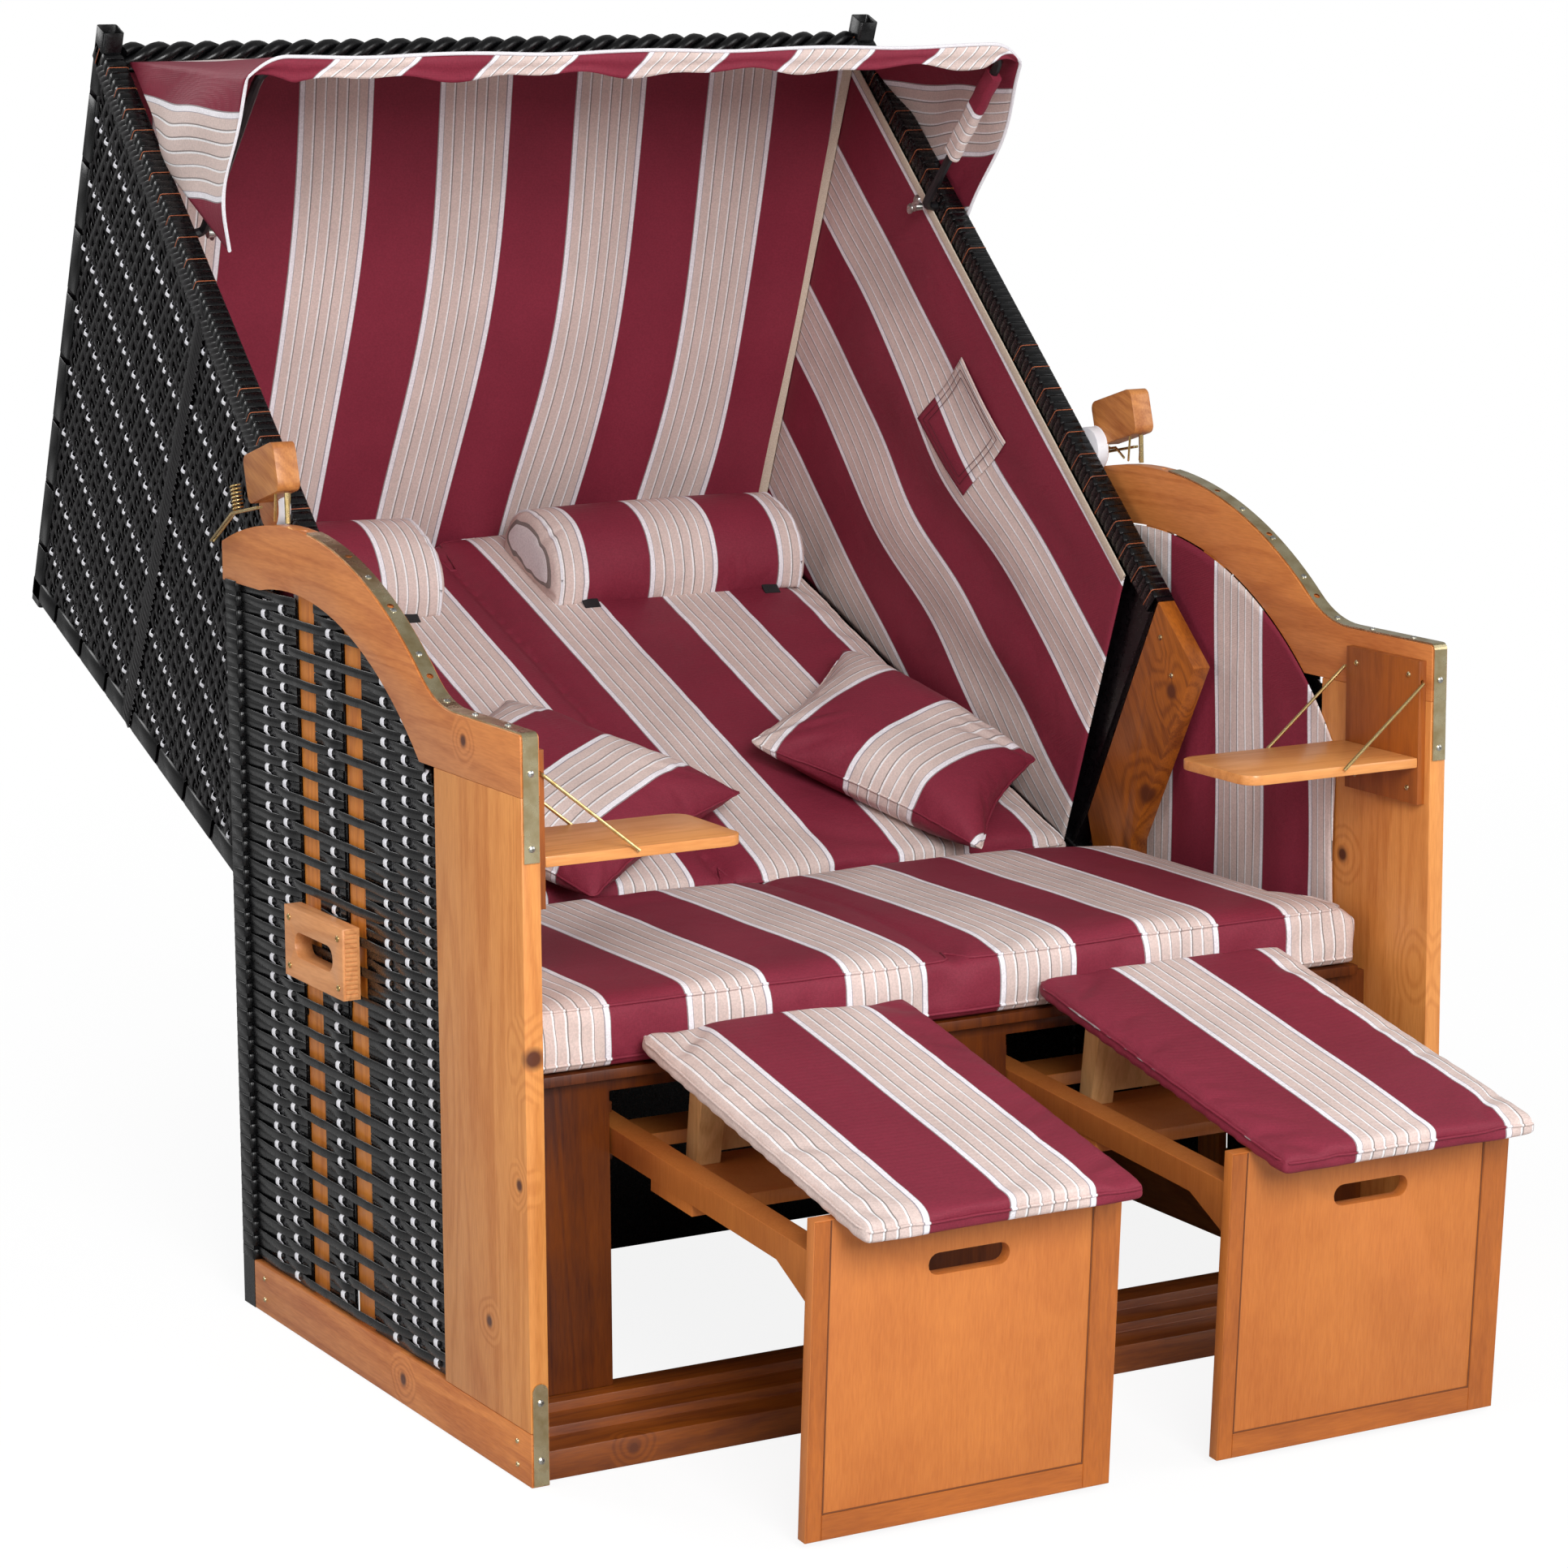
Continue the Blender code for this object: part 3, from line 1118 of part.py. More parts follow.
def neck_roll(name, side, hood):
    """A half-round roll that lies flat on the backrest, with rounded ends."""
    base = BACKREST_FACE + GAP

    def end_share(s):
        return rounding(ROLL_LENGTH * min(s, 1 - s) + ROLL_END / 4, ROLL_END)

    def lower(s, t):
        spread = ROLL_END_WIDTH_SHARE + (1 - ROLL_END_WIDTH_SHARE) * end_share(s)
        u = ROLL_START + ROLL_DEPTH * (1 + (2 * t - 1) * spread) / 2
        return (side * (ROLL_INNER + ROLL_LENGTH * s), u, base)

    def upper(s, t):
        round_share = sqrt(max(1 - abs(2 * t - 1) ** ROLL_ROUNDNESS, 0))
        height = ROLL_HEIGHT * (ROLL_WALL_SHARE + (1 - ROLL_WALL_SHARE) * round_share)
        height *= ROLL_END_HEIGHT_SHARE + (1 - ROLL_END_HEIGHT_SHARE) * end_share(s)
        x, u, _ = lower(s, t)
        return (x, u, base + height)

    around = [(1 - cos(pi * share)) / 2 for share in even_shares(12)]
    slab(name, edged_shares(5, ROLL_LENGTH, ROLL_END), around, upper, lower, "maroon_cloth", hood)


def pillow_axis(hood_back_place, hood_up_place):
    """The line that the pillows turn about with the hood, which lets them climb the backrest."""
    reach = PILLOW_CLIMB / (2 * sin(HOOD_RANGE / 2))
    direction = HOOD_RECLINE + HOOD_RANGE + (pi - HOOD_RANGE) / 2
    return hood_back_place + reach * cos(direction), hood_up_place + reach * sin(direction)


def pillow(name, side_name, frame, offset):
    """A slack square pillow: thick in the middle, with drawn-in edges and thin pointed corners."""
    centre_x = BACKREST_HALF * PILLOW_SIDE_SHARES[side_name]
    centre_u = PILLOW_ALONG[side_name]
    corners = []
    for share_x, share_u in PILLOW_CORNER_SHARES[side_name]:
        corners.append(Vector((centre_x + PILLOW * share_x, centre_u + PILLOW * share_u)))
    top, right, bottom, left = corners
    middle_up = BACKREST_FACE + GAP + PILLOW_THICKNESS / 2

    def surface(sign):
        def point(s, t):
            flat = bottom.lerp(right, s).lerp(left.lerp(top, s), t)
            a, b = 2 * s - 1, 2 * t - 1
            pull = PILLOW_PULL_SHARE * ((1 - a * a) * abs(b) ** 3 + (1 - b * b) * abs(a) ** 3)
            flat = flat.lerp(Vector((centre_x, centre_u)), pull)
            bulge = ((1 - a ** 4) * (1 - b ** 4)) ** PILLOW_FULLNESS
            height = PILLOW_EDGE / 2 + (PILLOW_THICKNESS - PILLOW_EDGE) / 2 * bulge
            return (flat.x, flat.y - offset[0], middle_up + sign * height - offset[1])
        return point

    slab(name, PILLOW_STEP_SHARES, PILLOW_STEP_SHARES, surface(1), surface(-1), "maroon_cloth", frame)


# Locks

def lock_frame(side_name, hood):
    """The lock's frame: on the pin's tip, with its Z along the pin, away from the pivot."""
    tip = ARM_RADIUS + PIN_CLEAR
    angle = PIN_ANGLE - HOOD_RECLINE
    return empty(f"lock_axis_{side_name}", hood, (0, tip * cos(angle), tip * sin(angle)), angle - pi / 2)


def lock_grip(name, side, frame):
    """A wooden grip with rounded corners, and the disc that spaces it off the hood's front bar."""
    turn = Matrix.Rotation(GRIP_TILT, 2)
    outline = []
    grip_back = GRIP_LENGTH - GRIP_FRONT / 2
    for a, b in rounded_rectangle(-GRIP_FRONT / 2, 0, grip_back, GRIP_HEIGHT, GRIP_CORNER):
        point = turn @ Vector((a, b))
        outline.append((point.x, point.y + GRIP_LIFT))
    inner = HOOD_HALF + GRIP_SPACER
    grip = side_prism(name, side, outline, inner, inner + GRIP_THICKNESS, "light_wood", frame)
    centre = turn @ Vector((grip_back + GRIP_DISC_BACK, -GRIP_DISC_DROP))
    disc_place = (centre.x, centre.y + GRIP_LIFT)
    disc = turned(f"{name}_disc", [(side * (HOOD_HALF + GAP), GRIP_DISC_RADIUS),
                                   (side * (inner + OVERRUN), GRIP_DISC_RADIUS)], disc_place, None, frame)
    join(grip, disc)


def lock_pin(name, side, frame):
    """The steel pin under the grip that drops into the strap's holes."""
    top = GRIP_LIFT - PIN_RADIUS * tan(-GRIP_TILT) - 2 * GAP
    rod(name, (side * STRAP_MIDDLE, 0, 0), (side * STRAP_MIDDLE, 0, top), PIN_RADIUS, "steel", frame)


# Awning

def awning_frame(hood):
    return empty("awning_axis", hood, (0, AWNING_PIVOT_ALONG, AWNING_PIVOT_UP))


def awning_bow(awning):
    """The bent rod: its arms turn on the hood's sides and its bar carries the cloth's front."""
    stub = HOOD_FREE - GAP
    points = [(-stub, 0, 0), (-BOW_HALF, 0, 0), (-BOW_HALF, -AWNING_BAR_BACK, AWNING_BAR_UP),
              (BOW_HALF, -AWNING_BAR_BACK, AWNING_BAR_UP), (BOW_HALF, 0, 0), (stub, 0, 0)]
    path = bent_path(points[:3], BOW_RADIUS * 2)[:-1]
    path += bent_path(points[1:5], BOW_BEND)[1:-1]
    path += bent_path(points[3:], BOW_RADIUS * 2)[1:]
    tube("awning_bow", path, BOW_RADIUS, "black_metal", awning)


def awning_cloth(awning):
    """Cloth from the top rail to the bow, with a flap down each side to the bow's pivot."""
    rail = Vector((HOOD_APEX_ALONG - 2 * TOP_RAIL_RADIUS - AWNING_PIVOT_ALONG - CLOTH / 2 - GAP,
                   HOOD_APEX_UP - TOP_RAIL_RADIUS - AWNING_PIVOT_UP))
    bar = Vector((-AWNING_BAR_BACK, AWNING_BAR_UP))
    square = Vector((bar.y - rail.y, rail.x - bar.x)).normalized()
    bar += square * (BOW_RADIUS + 2 * GAP)
    tip_back = BOW_RADIUS + CLOTH

    def edge(t, sign):
        half = HOOD_FREE - RUNNING - 2 * CLOTH + (AWNING_SPREAD - HOOD_FREE + CLOTH) * t
        flat = rail.lerp(bar, t)
        return Vector((sign * half, flat.x, flat.y))

    def flap(depth, t, label, sign):
        across = sign * (HOOD_HALF + FLAP_OVERHANGS[label])
        tip = Vector((across, -tip_back - FLAP_TIP_WIDTH * t, -CLOTH))
        return edge(t, sign).lerp(tip, depth * min(max(t / FLAP_START_SHARE, FLAP_LEAST_SHARE), 1))

    def lower(s, t):
        if s < FLAP_SHARE:
            return flap(1 - s / FLAP_SHARE, t, "l", -1)
        if s > 1 - FLAP_SHARE:
            return flap(1 - (1 - s) / FLAP_SHARE, t, "r", 1)
        share = (s - FLAP_SHARE) / (1 - 2 * FLAP_SHARE)
        sag = AWNING_SAG * sin(pi * t) ** 2 * sin(pi * share)
        fold = AWNING_FOLD * sin(2 * pi * AWNING_FOLDS * share) * sin(pi * t) ** 2 * sin(pi * share)
        return edge(t, -1).lerp(edge(t, 1), share) - Vector((0, 0, sag + fold))

    def upper(s, t):
        outward = -1 if s < FLAP_SHARE else 1 if s > 1 - FLAP_SHARE else 0
        return lower(s, t) + Vector((outward, *square)) * CLOTH

    flap_shares = [FLAP_SHARE * share for share in FLAP_STEP_SHARES]
    middle = [FLAP_SHARE + (1 - 2 * FLAP_SHARE) * share for share in even_shares(AWNING_FOLDS * 4)]
    across = flap_shares + middle + [1 - share for share in reversed(flap_shares)]
    slab("awning_cloth", across, even_shares(8), upper, lower, "beige_cloth", awning)


# Assembly

def main():
    clear_scene()
    chair = empty("chair", None, (0, -REFERENCE_BACK, 0))
    hood = empty("hood_axis", chair, (0, PIVOT_BACK, PIVOT_UP), HOOD_RECLINE)
    for label, side in SIDES:
        arm_board(f"arm_board_{label}", side, chair)
        front_post(f"front_post_{label}", side, chair)
        bottom_rail(f"bottom_rail_{label}", side, chair)
        back_post(f"back_post_{label}", side, chair)
        weave_panel(f"weave_panel_{label}", side, chair)
        slats(f"slats_{label}", side, chair)
        side_lining(f"side_lining_{label}", side, chair)
        arm_strap(f"arm_strap_{label}", side, chair)
        carry_handle(f"carry_handle_{label}", side, chair)
        pivot_bolt(f"pivot_bolt_{label}", side, chair)
        table_plate(f"table_plate_{label}", side, chair)
        table_leaf(f"table_leaf_{label}", side, chair)
        table_rods(f"table_rods_{label}", side, chair)
        runner_frame(f"runner_frame_{label}", side, chair)
    seat_deck(chair)
    seat_cushion(chair)
    front_rail(chair)
    seat_front_frame(chair)
    back_panel(chair)
    for label, side in SIDES:
        drawer = drawer_frame(label, chair)
        axis = board_axis(label, drawer)
        footrest_frame(f"footrest_frame_{label}", side, drawer)
        footrest_board(f"footrest_board_{label}", side, axis)
        footrest_prop(f"footrest_prop_{label}", side, axis)
    for label, side in SIDES:
        hood_side(f"hood_side_{label}", side, hood)
        lower_board(f"lower_board_{label}", side, hood)
        hood_lining(f"hood_lining_{label}", side, hood)
        neck_roll(f"neck_roll_{label}", side, hood)
        lock = lock_frame(label, hood)
        lock_grip(f"lock_grip_{label}", side, lock)
        lock_pin(f"lock_pin_{label}", side, lock)
    hood_roof(hood)
    hood_back(hood)
    hood_top_rail(hood)
    roof_lining(hood)
    backrest(hood)
    axis_back, axis_up = pillow_axis(PIVOT_BACK, PIVOT_UP)
    pillows = empty("pillow_axis", chair, (0, axis_back, axis_up), HOOD_RECLINE)
    turn = Matrix.Rotation(-HOOD_RECLINE, 2)
    offset = turn @ Vector((axis_back - PIVOT_BACK, axis_up - PIVOT_UP))
    for label, side in SIDES:
        pillow(f"pillow_{label}", label, pillows, offset)
    awning = awning_frame(hood)
    awning_bow(awning)
    awning_cloth(awning)


main()
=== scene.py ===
# %% [markdown]
# A two-seat hooded beach chair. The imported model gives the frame: its boards, its
# joints and the space of every cushion. This file dresses it: eased wood, woven
# strands, stuffed cushions, sewn cloth, wires and fittings.

# %% Load the frame
import json
from math import atan2, cos, hypot, pi, radians, sin, sqrt, tanh

import bmesh
import bpy
from mathutils import Matrix, Vector, noise
from mathutils.bvhtree import BVHTree
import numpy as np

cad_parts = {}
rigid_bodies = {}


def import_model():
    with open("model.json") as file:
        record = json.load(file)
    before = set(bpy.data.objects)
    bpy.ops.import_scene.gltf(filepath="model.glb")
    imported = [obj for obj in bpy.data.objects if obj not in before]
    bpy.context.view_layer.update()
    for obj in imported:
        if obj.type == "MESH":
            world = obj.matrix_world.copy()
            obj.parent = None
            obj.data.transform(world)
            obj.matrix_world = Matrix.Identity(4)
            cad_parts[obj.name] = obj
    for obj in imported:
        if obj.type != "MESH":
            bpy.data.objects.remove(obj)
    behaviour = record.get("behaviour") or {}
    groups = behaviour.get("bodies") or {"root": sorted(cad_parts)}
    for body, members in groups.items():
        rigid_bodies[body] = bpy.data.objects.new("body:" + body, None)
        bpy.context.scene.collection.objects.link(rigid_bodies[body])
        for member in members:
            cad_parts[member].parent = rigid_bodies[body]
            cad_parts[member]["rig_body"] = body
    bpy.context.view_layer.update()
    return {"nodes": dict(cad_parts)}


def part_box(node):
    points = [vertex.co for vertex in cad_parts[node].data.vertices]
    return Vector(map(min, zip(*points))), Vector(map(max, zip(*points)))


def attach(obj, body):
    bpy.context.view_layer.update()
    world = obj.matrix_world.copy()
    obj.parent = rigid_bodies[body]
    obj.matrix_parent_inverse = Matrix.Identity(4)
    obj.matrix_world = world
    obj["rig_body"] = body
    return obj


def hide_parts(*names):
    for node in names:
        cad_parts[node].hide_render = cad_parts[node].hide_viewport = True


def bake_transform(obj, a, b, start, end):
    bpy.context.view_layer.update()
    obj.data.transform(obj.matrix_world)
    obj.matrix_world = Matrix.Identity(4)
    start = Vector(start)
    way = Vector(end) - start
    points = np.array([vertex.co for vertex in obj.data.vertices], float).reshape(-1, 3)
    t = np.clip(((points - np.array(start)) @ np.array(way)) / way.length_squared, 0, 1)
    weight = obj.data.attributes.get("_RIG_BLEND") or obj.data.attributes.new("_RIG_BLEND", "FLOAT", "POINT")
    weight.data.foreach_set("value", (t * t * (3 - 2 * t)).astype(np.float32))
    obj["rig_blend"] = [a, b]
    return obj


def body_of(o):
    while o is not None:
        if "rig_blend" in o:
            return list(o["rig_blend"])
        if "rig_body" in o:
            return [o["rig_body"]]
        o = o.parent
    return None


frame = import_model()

# %% [markdown]
# The hood leans back 21 degrees about a bolt in each side. Its boards are easiest to
# lay out in the hood's own directions, so one function turns a place along and above
# the hood's back panel into the chair's frame.

# %% Sizes that many pieces share
SIDES = (("l", -1), ("r", 1))
REAR = 0.0782
PIVOT = Vector((0, 0.600 - REAR, 0.400))
RECLINE = radians(21)
# The middle of the side frames, and the height of the arch's centre in them.
FRAME_X = 0.589
ARCH_BACK, ARCH_UP = 0.600, 0.400
HOOD_HALF = 0.560
HOOD_IN = 0.535
APEX = (1.025, 0.801)
TIP = (-0.044, 0.376)
CORNER_ALONG = 1.042
EDGE_SLOPE = (APEX[1] - TIP[1]) / (APEX[0] - TIP[0])
EDGE_ANGLE = atan2(EDGE_SLOPE, 1)
ROOF_LEAN = (CORNER_ALONG - APEX[0]) / APEX[1]
MAROON_STRIPE = 0.095
STRIPE_PERIOD = 0.200


def hooded(across, along, up):
    """A place across, along and above the hood's back panel, in the chair's frame."""
    back = PIVOT.y + along * cos(RECLINE) - up * sin(RECLINE)
    return Vector((across, back, PIVOT.z + along * sin(RECLINE) + up * cos(RECLINE)))


def edge_up(along):
    """How far the hood's front edge is above its back panel there."""
    return TIP[1] + EDGE_SLOPE * (along - TIP[0])


def roof_along(up, inset):
    """How far along the hood its roof is at that height, less an inset."""
    return CORNER_ALONG - ROOF_LEAN * up - inset


print("front edge", round(hypot(APEX[0] - TIP[0], APEX[1] - TIP[1]), 3), "m long")

# %% [markdown]
# The camera stands to the left of the chair, a bit above it, with a long lens, as the
# photograph's straight verticals show. Its shift moves the frame by 4 and 59 pixels.

# %% Camera
PICTURE, SENSOR = 1932, 36


def aim_camera():
    """The photograph's view, from a camera solved from the chair's own straight edges."""
    data = bpy.data.cameras.new("Camera")
    camera = bpy.data.objects.new("Camera", data)
    bpy.context.scene.collection.objects.link(camera)
    azimuth, down, roll = radians(29.275), radians(9.835), radians(-0.344)
    forward = Vector((sin(azimuth) * cos(down), cos(azimuth) * cos(down), -sin(down)))
    turn = forward.to_track_quat("-Z", "Y").to_matrix()
    turn = turn @ Matrix.Rotation(roll, 3, "Z")
    camera.matrix_world = Matrix.Translation((-2.604, -4.2207, 1.6105)) @ turn.to_4x4()
    data.lens = 5543.3 / PICTURE * SENSOR
    data.sensor_width = SENSOR
    data.shift_x = -(970.4 - PICTURE / 2) / PICTURE
    data.shift_y = (906.6 - PICTURE / 2) / PICTURE
    data.clip_end = 200
    bpy.context.scene.camera = camera
    return camera


camera = aim_camera()
print("lens", round(camera.data.lens, 1), "mm")

# %% [markdown]
# Every finish is a node tree, and a tree is easier to read when one line adds one node.
# The colours are picked as sRGB hex values, which one function turns to linear light.

# %% Helpers for finishes
def linear(hex_colour):
    """An sRGB hex colour as linear red, green, blue and alpha."""
    parts = [int(hex_colour[place:place + 2], 16) / 255 for place in (1, 3, 5)]
    return tuple(p / 12.92 if p <= 0.04045 else ((p + 0.055) / 1.055) ** 2.4 for p in parts) + (1.0,)


def add(tree, kind, inputs=None, **settings):
    """Adds a node, sets what it is given and links the sockets among its inputs."""
    made = tree.nodes.new(kind)
    for name, value in settings.items():
        setattr(made, name, value)
    for key, value in (inputs or {}).items():
        if isinstance(value, bpy.types.NodeSocket):
            tree.links.new(value, made.inputs[key])
        else:
            made.inputs[key].default_value = value
    return made


def new_finish(name):
    """An empty finish: its material, its node tree and its shader."""
    material = bpy.data.materials.new(name)
    material.use_nodes = True
    return material, material.node_tree, material.node_tree.nodes["Principled BSDF"]


def set_shader(shader, **values):
    """Sets constants on the shader's own sockets."""
    for name, value in values.items():
        shader.inputs[name.replace("_", " ")].default_value = value


def rough_bump(tree, shader, height, strength, distance):
    """Lets a height pattern show as relief."""
    relief = add(tree, "ShaderNodeBump", {"Height": height, "Strength": strength, "Distance": distance})
    tree.links.new(relief.outputs["Normal"], shader.inputs["Normal"])


# %% [markdown]
# The boards are softwood, stained honey and oiled: long grain with a slow figure, fine
# pores, a tone that changes from one glued strip to the next, and a few dark knots that
# the grain flows round. Grain is noise pulled out along the board, and its figure is a
# sine of that noise, which gives closed loops as a saw gives them.

# %% Stained softwood
GRAIN_STRETCH = {"x": (1, 11, 11), "y": (11, 1, 11), "z": (11, 11, 1)}


def stained_wood(name, pale, deep, grain, strip=0.0, knots=(), turn=(0, 0, 0), blotch=0.35, gloss=0.36,
                 figured=0.30):
    """Oiled softwood: satin, warm, with darker figure lines. Each knot is a place and a radius."""
    material, tree, shader = new_finish(name)
    place = add(tree, "ShaderNodeTexCoord").outputs["Object"]
    turned = add(tree, "ShaderNodeMapping", {"Vector": place, "Rotation": turn}).outputs[0]
    pulled = add(tree, "ShaderNodeVectorMath", {0: turned, 1: GRAIN_STRETCH[grain]}, operation="MULTIPLY").outputs[0]
    flow = add(tree, "ShaderNodeTexNoise",
               {"Vector": pulled, "Scale": 1.1, "Detail": 2.0, "Distortion": 0.4}).outputs[0]
    dark = None
    for spot, radius in knots:
        away = add(tree, "ShaderNodeVectorMath", {0: place, 1: spot}, operation="DISTANCE").outputs["Value"]
        near = add(tree, "ShaderNodeMapRange", {0: away, 1: radius * 5, 2: 0.0, 3: 0.0, 4: 0.35}).outputs[0]
        flow = add(tree, "ShaderNodeMath", {0: flow, 1: near}, operation="ADD").outputs[0]
        core = add(tree, "ShaderNodeMapRange", {0: away, 1: radius * 1.5, 2: radius * 0.7, 3: 0.0, 4: 1.0}).outputs[0]
        if dark is not None:
            core = add(tree, "ShaderNodeMath", {0: dark, 1: core}, operation="MAXIMUM").outputs[0]
        dark = core
    rings = add(tree, "ShaderNodeMath", {0: flow, 1: 62.0}, operation="MULTIPLY").outputs[0]
    rings = add(tree, "ShaderNodeMath", {0: rings}, operation="SINE").outputs[0]
    lines = add(tree, "ShaderNodeMapRange", {0: rings, 1: -0.4, 2: 1.0, 3: 0.0, 4: figured}).outputs[0]
    fine = add(tree, "ShaderNodeTexNoise", {"Vector": pulled, "Scale": 42.0, "Detail": 3.0}).outputs[0]
    fine = add(tree, "ShaderNodeMapRange", {0: fine, 1: 0.35, 2: 0.7, 3: 0.0, 4: 0.30}).outputs[0]
    share = add(tree, "ShaderNodeMath", {0: lines, 1: fine}, operation="ADD").outputs[0]
    cloud = add(tree, "ShaderNodeTexNoise", {"Vector": turned, "Scale": 7.0, "Detail": 3.0}).outputs[0]
    cloud = add(tree, "ShaderNodeMapRange", {0: cloud, 1: 0.35, 2: 0.7, 3: 0.0, 4: blotch}).outputs[0]
    share = add(tree, "ShaderNodeMath", {0: share, 1: cloud}, operation="ADD", use_clamp=True).outputs[0]
    if strip:
        steps = add(tree, "ShaderNodeVectorMath", {0: turned, 1: (1 / strip,) * 3}, operation="MULTIPLY").outputs[0]
        steps = add(tree, "ShaderNodeSeparateXYZ", {0: steps}).outputs[1 if grain != "y" else 2]
        steps = add(tree, "ShaderNodeMath", {0: steps}, operation="FLOOR").outputs[0]
        tone = add(tree, "ShaderNodeTexWhiteNoise", {"W": steps}, noise_dimensions="1D").outputs["Value"]
        tone = add(tree, "ShaderNodeMath", {0: tone, 1: 0.34}, operation="MULTIPLY").outputs[0]
        share = add(tree, "ShaderNodeMath", {0: share, 1: tone}, operation="ADD", use_clamp=True).outputs[0]
    colour = add(tree, "ShaderNodeMixRGB", {0: share, 1: linear(pale), 2: linear(deep)}).outputs[0]
    if dark is not None:
        colour = add(tree, "ShaderNodeMixRGB", {0: dark, 1: colour, 2: linear("#5A2A10")}).outputs[0]
    tree.links.new(colour, shader.inputs["Base Color"])
    rough = add(tree, "ShaderNodeMapRange", {0: share, 1: 0.0, 2: 1.0, 3: gloss, 4: gloss + 0.16}).outputs[0]
    tree.links.new(rough, shader.inputs["Roughness"])
    set_shader(shader, IOR=1.5, Coat_Weight=0.12, Coat_Roughness=0.3)
    rough_bump(tree, shader, share, 0.25, 0.0006)
    return material


finishes = {
    "post": stained_wood("oiled_pine_post", "#E59A52", "#BC6A28", "z", strip=0.07, blotch=0.15,
                         knots=[((0.6, -0.055, 0.43), 0.011), ((-0.6, -0.06, 0.33), 0.006),
                                ((-0.59, -0.0782, 0.47), 0.010), ((-0.6, 0.02, 0.16), 0.006),
                                ((0.578, 0.09, 0.54), 0.008), ((0.578, 0.03, 0.27), 0.007)]),
    "rail": stained_wood("oiled_pine_rail", "#DC8A45", "#A4501C", "y", blotch=0.25,
                         knots=[((-0.6, 0.25, 0.03), 0.007), ((0.6, 0.1, 0.035), 0.007)]),
    "arm": stained_wood("oiled_pine_arm", "#DC8B4A", "#AA5722", "y", blotch=0.25,
                        knots=[((-0.6, 0.06, 0.79), 0.006)]),
    "slat": stained_wood("oiled_pine_slat", "#E08A34", "#A85414", "z", blotch=0.2),
    # The sill, the runners, and the seat's front frame and deck are coloured far darker than the other boards: this
    # is painted shade, standing for the shade that falls on them low down and under the seat.
    "sill": stained_wood("pine_sill_painted_shade", "#914C14", "#592408", "x", blotch=0.35,
                         knots=[((-0.47, -0.065, 0.02), 0.006)]),
    "upright": stained_wood("pine_upright_painted_shade", "#74380C", "#441802", "z", blotch=0.55),
    "runner": stained_wood("pine_runner_painted_shade", "#5C2B09", "#341303", "y", blotch=0.45),
    "drawer": stained_wood("stained_birch_ply", "#CE7C38", "#AE5C22", "z", blotch=0.40, gloss=0.42,
                            figured=0.10),
    "plate": stained_wood("stained_table_ply", "#A95B1C", "#783A0E", "z", blotch=0.3),
    "leaf": stained_wood("stained_leaf_ply", "#E8A05C", "#C47636", "x", blotch=0.25, gloss=0.3),
    "pale": stained_wood("oiled_pine_prop", "#E6B87E", "#BC8244", "z", blotch=0.15, gloss=0.45),
    "grip": stained_wood("oiled_grip_block", "#CC8748", "#8E4618", "y", turn=(radians(-21), 0, 0), blotch=0.5,
                         gloss=0.4),
    "knee": stained_wood("oiled_pine_hood_foot", "#B4641C", "#5A2406", "z", turn=(radians(28), 0, 0), blotch=0.5,
                         knots=[((0.536, 0.45, 0.56), 0.012), ((0.536, 0.395, 0.70), 0.010),
                                ((-0.56, 0.43, 0.60), 0.010)]),
    "handle": stained_wood("oiled_handle_block", "#E6A066", "#B8703A", "y", blotch=0.15),
}
print("wood finishes", len(finishes))

# %% [markdown]
# The cloth is a yarn-dyed polyester canvas: maroon bands and beige bands, each beige band
# edged in white and crossed by pinstripes that are white with a thin grey line beside
# them. One ramp holds one repeat of the stripe, read from a distance across the cloth,
# so that every piece is cut from the same cloth and only says where its bands fall.

# %% Striped canvas
def stripe_steps():
    """One repeat of the stripe: widths in metres and colours, from a beige band's first edge."""
    steps = [(0.0010, "#9A8E90"), (0.0062, "#F3EFF4"), (0.0010, "#A39AA0"), (0.0118, "#DBC6BF")]
    for _ in range(5):
        steps += [(0.0024, "#F5F1F2"), (0.0012, "#8F8480"), (0.0118, "#DBC6BF")]
    steps += [(0.0010, "#A39AA0"), (0.0062, "#F3EFF4"), (0.0010, "#9A8E90")]
    return steps


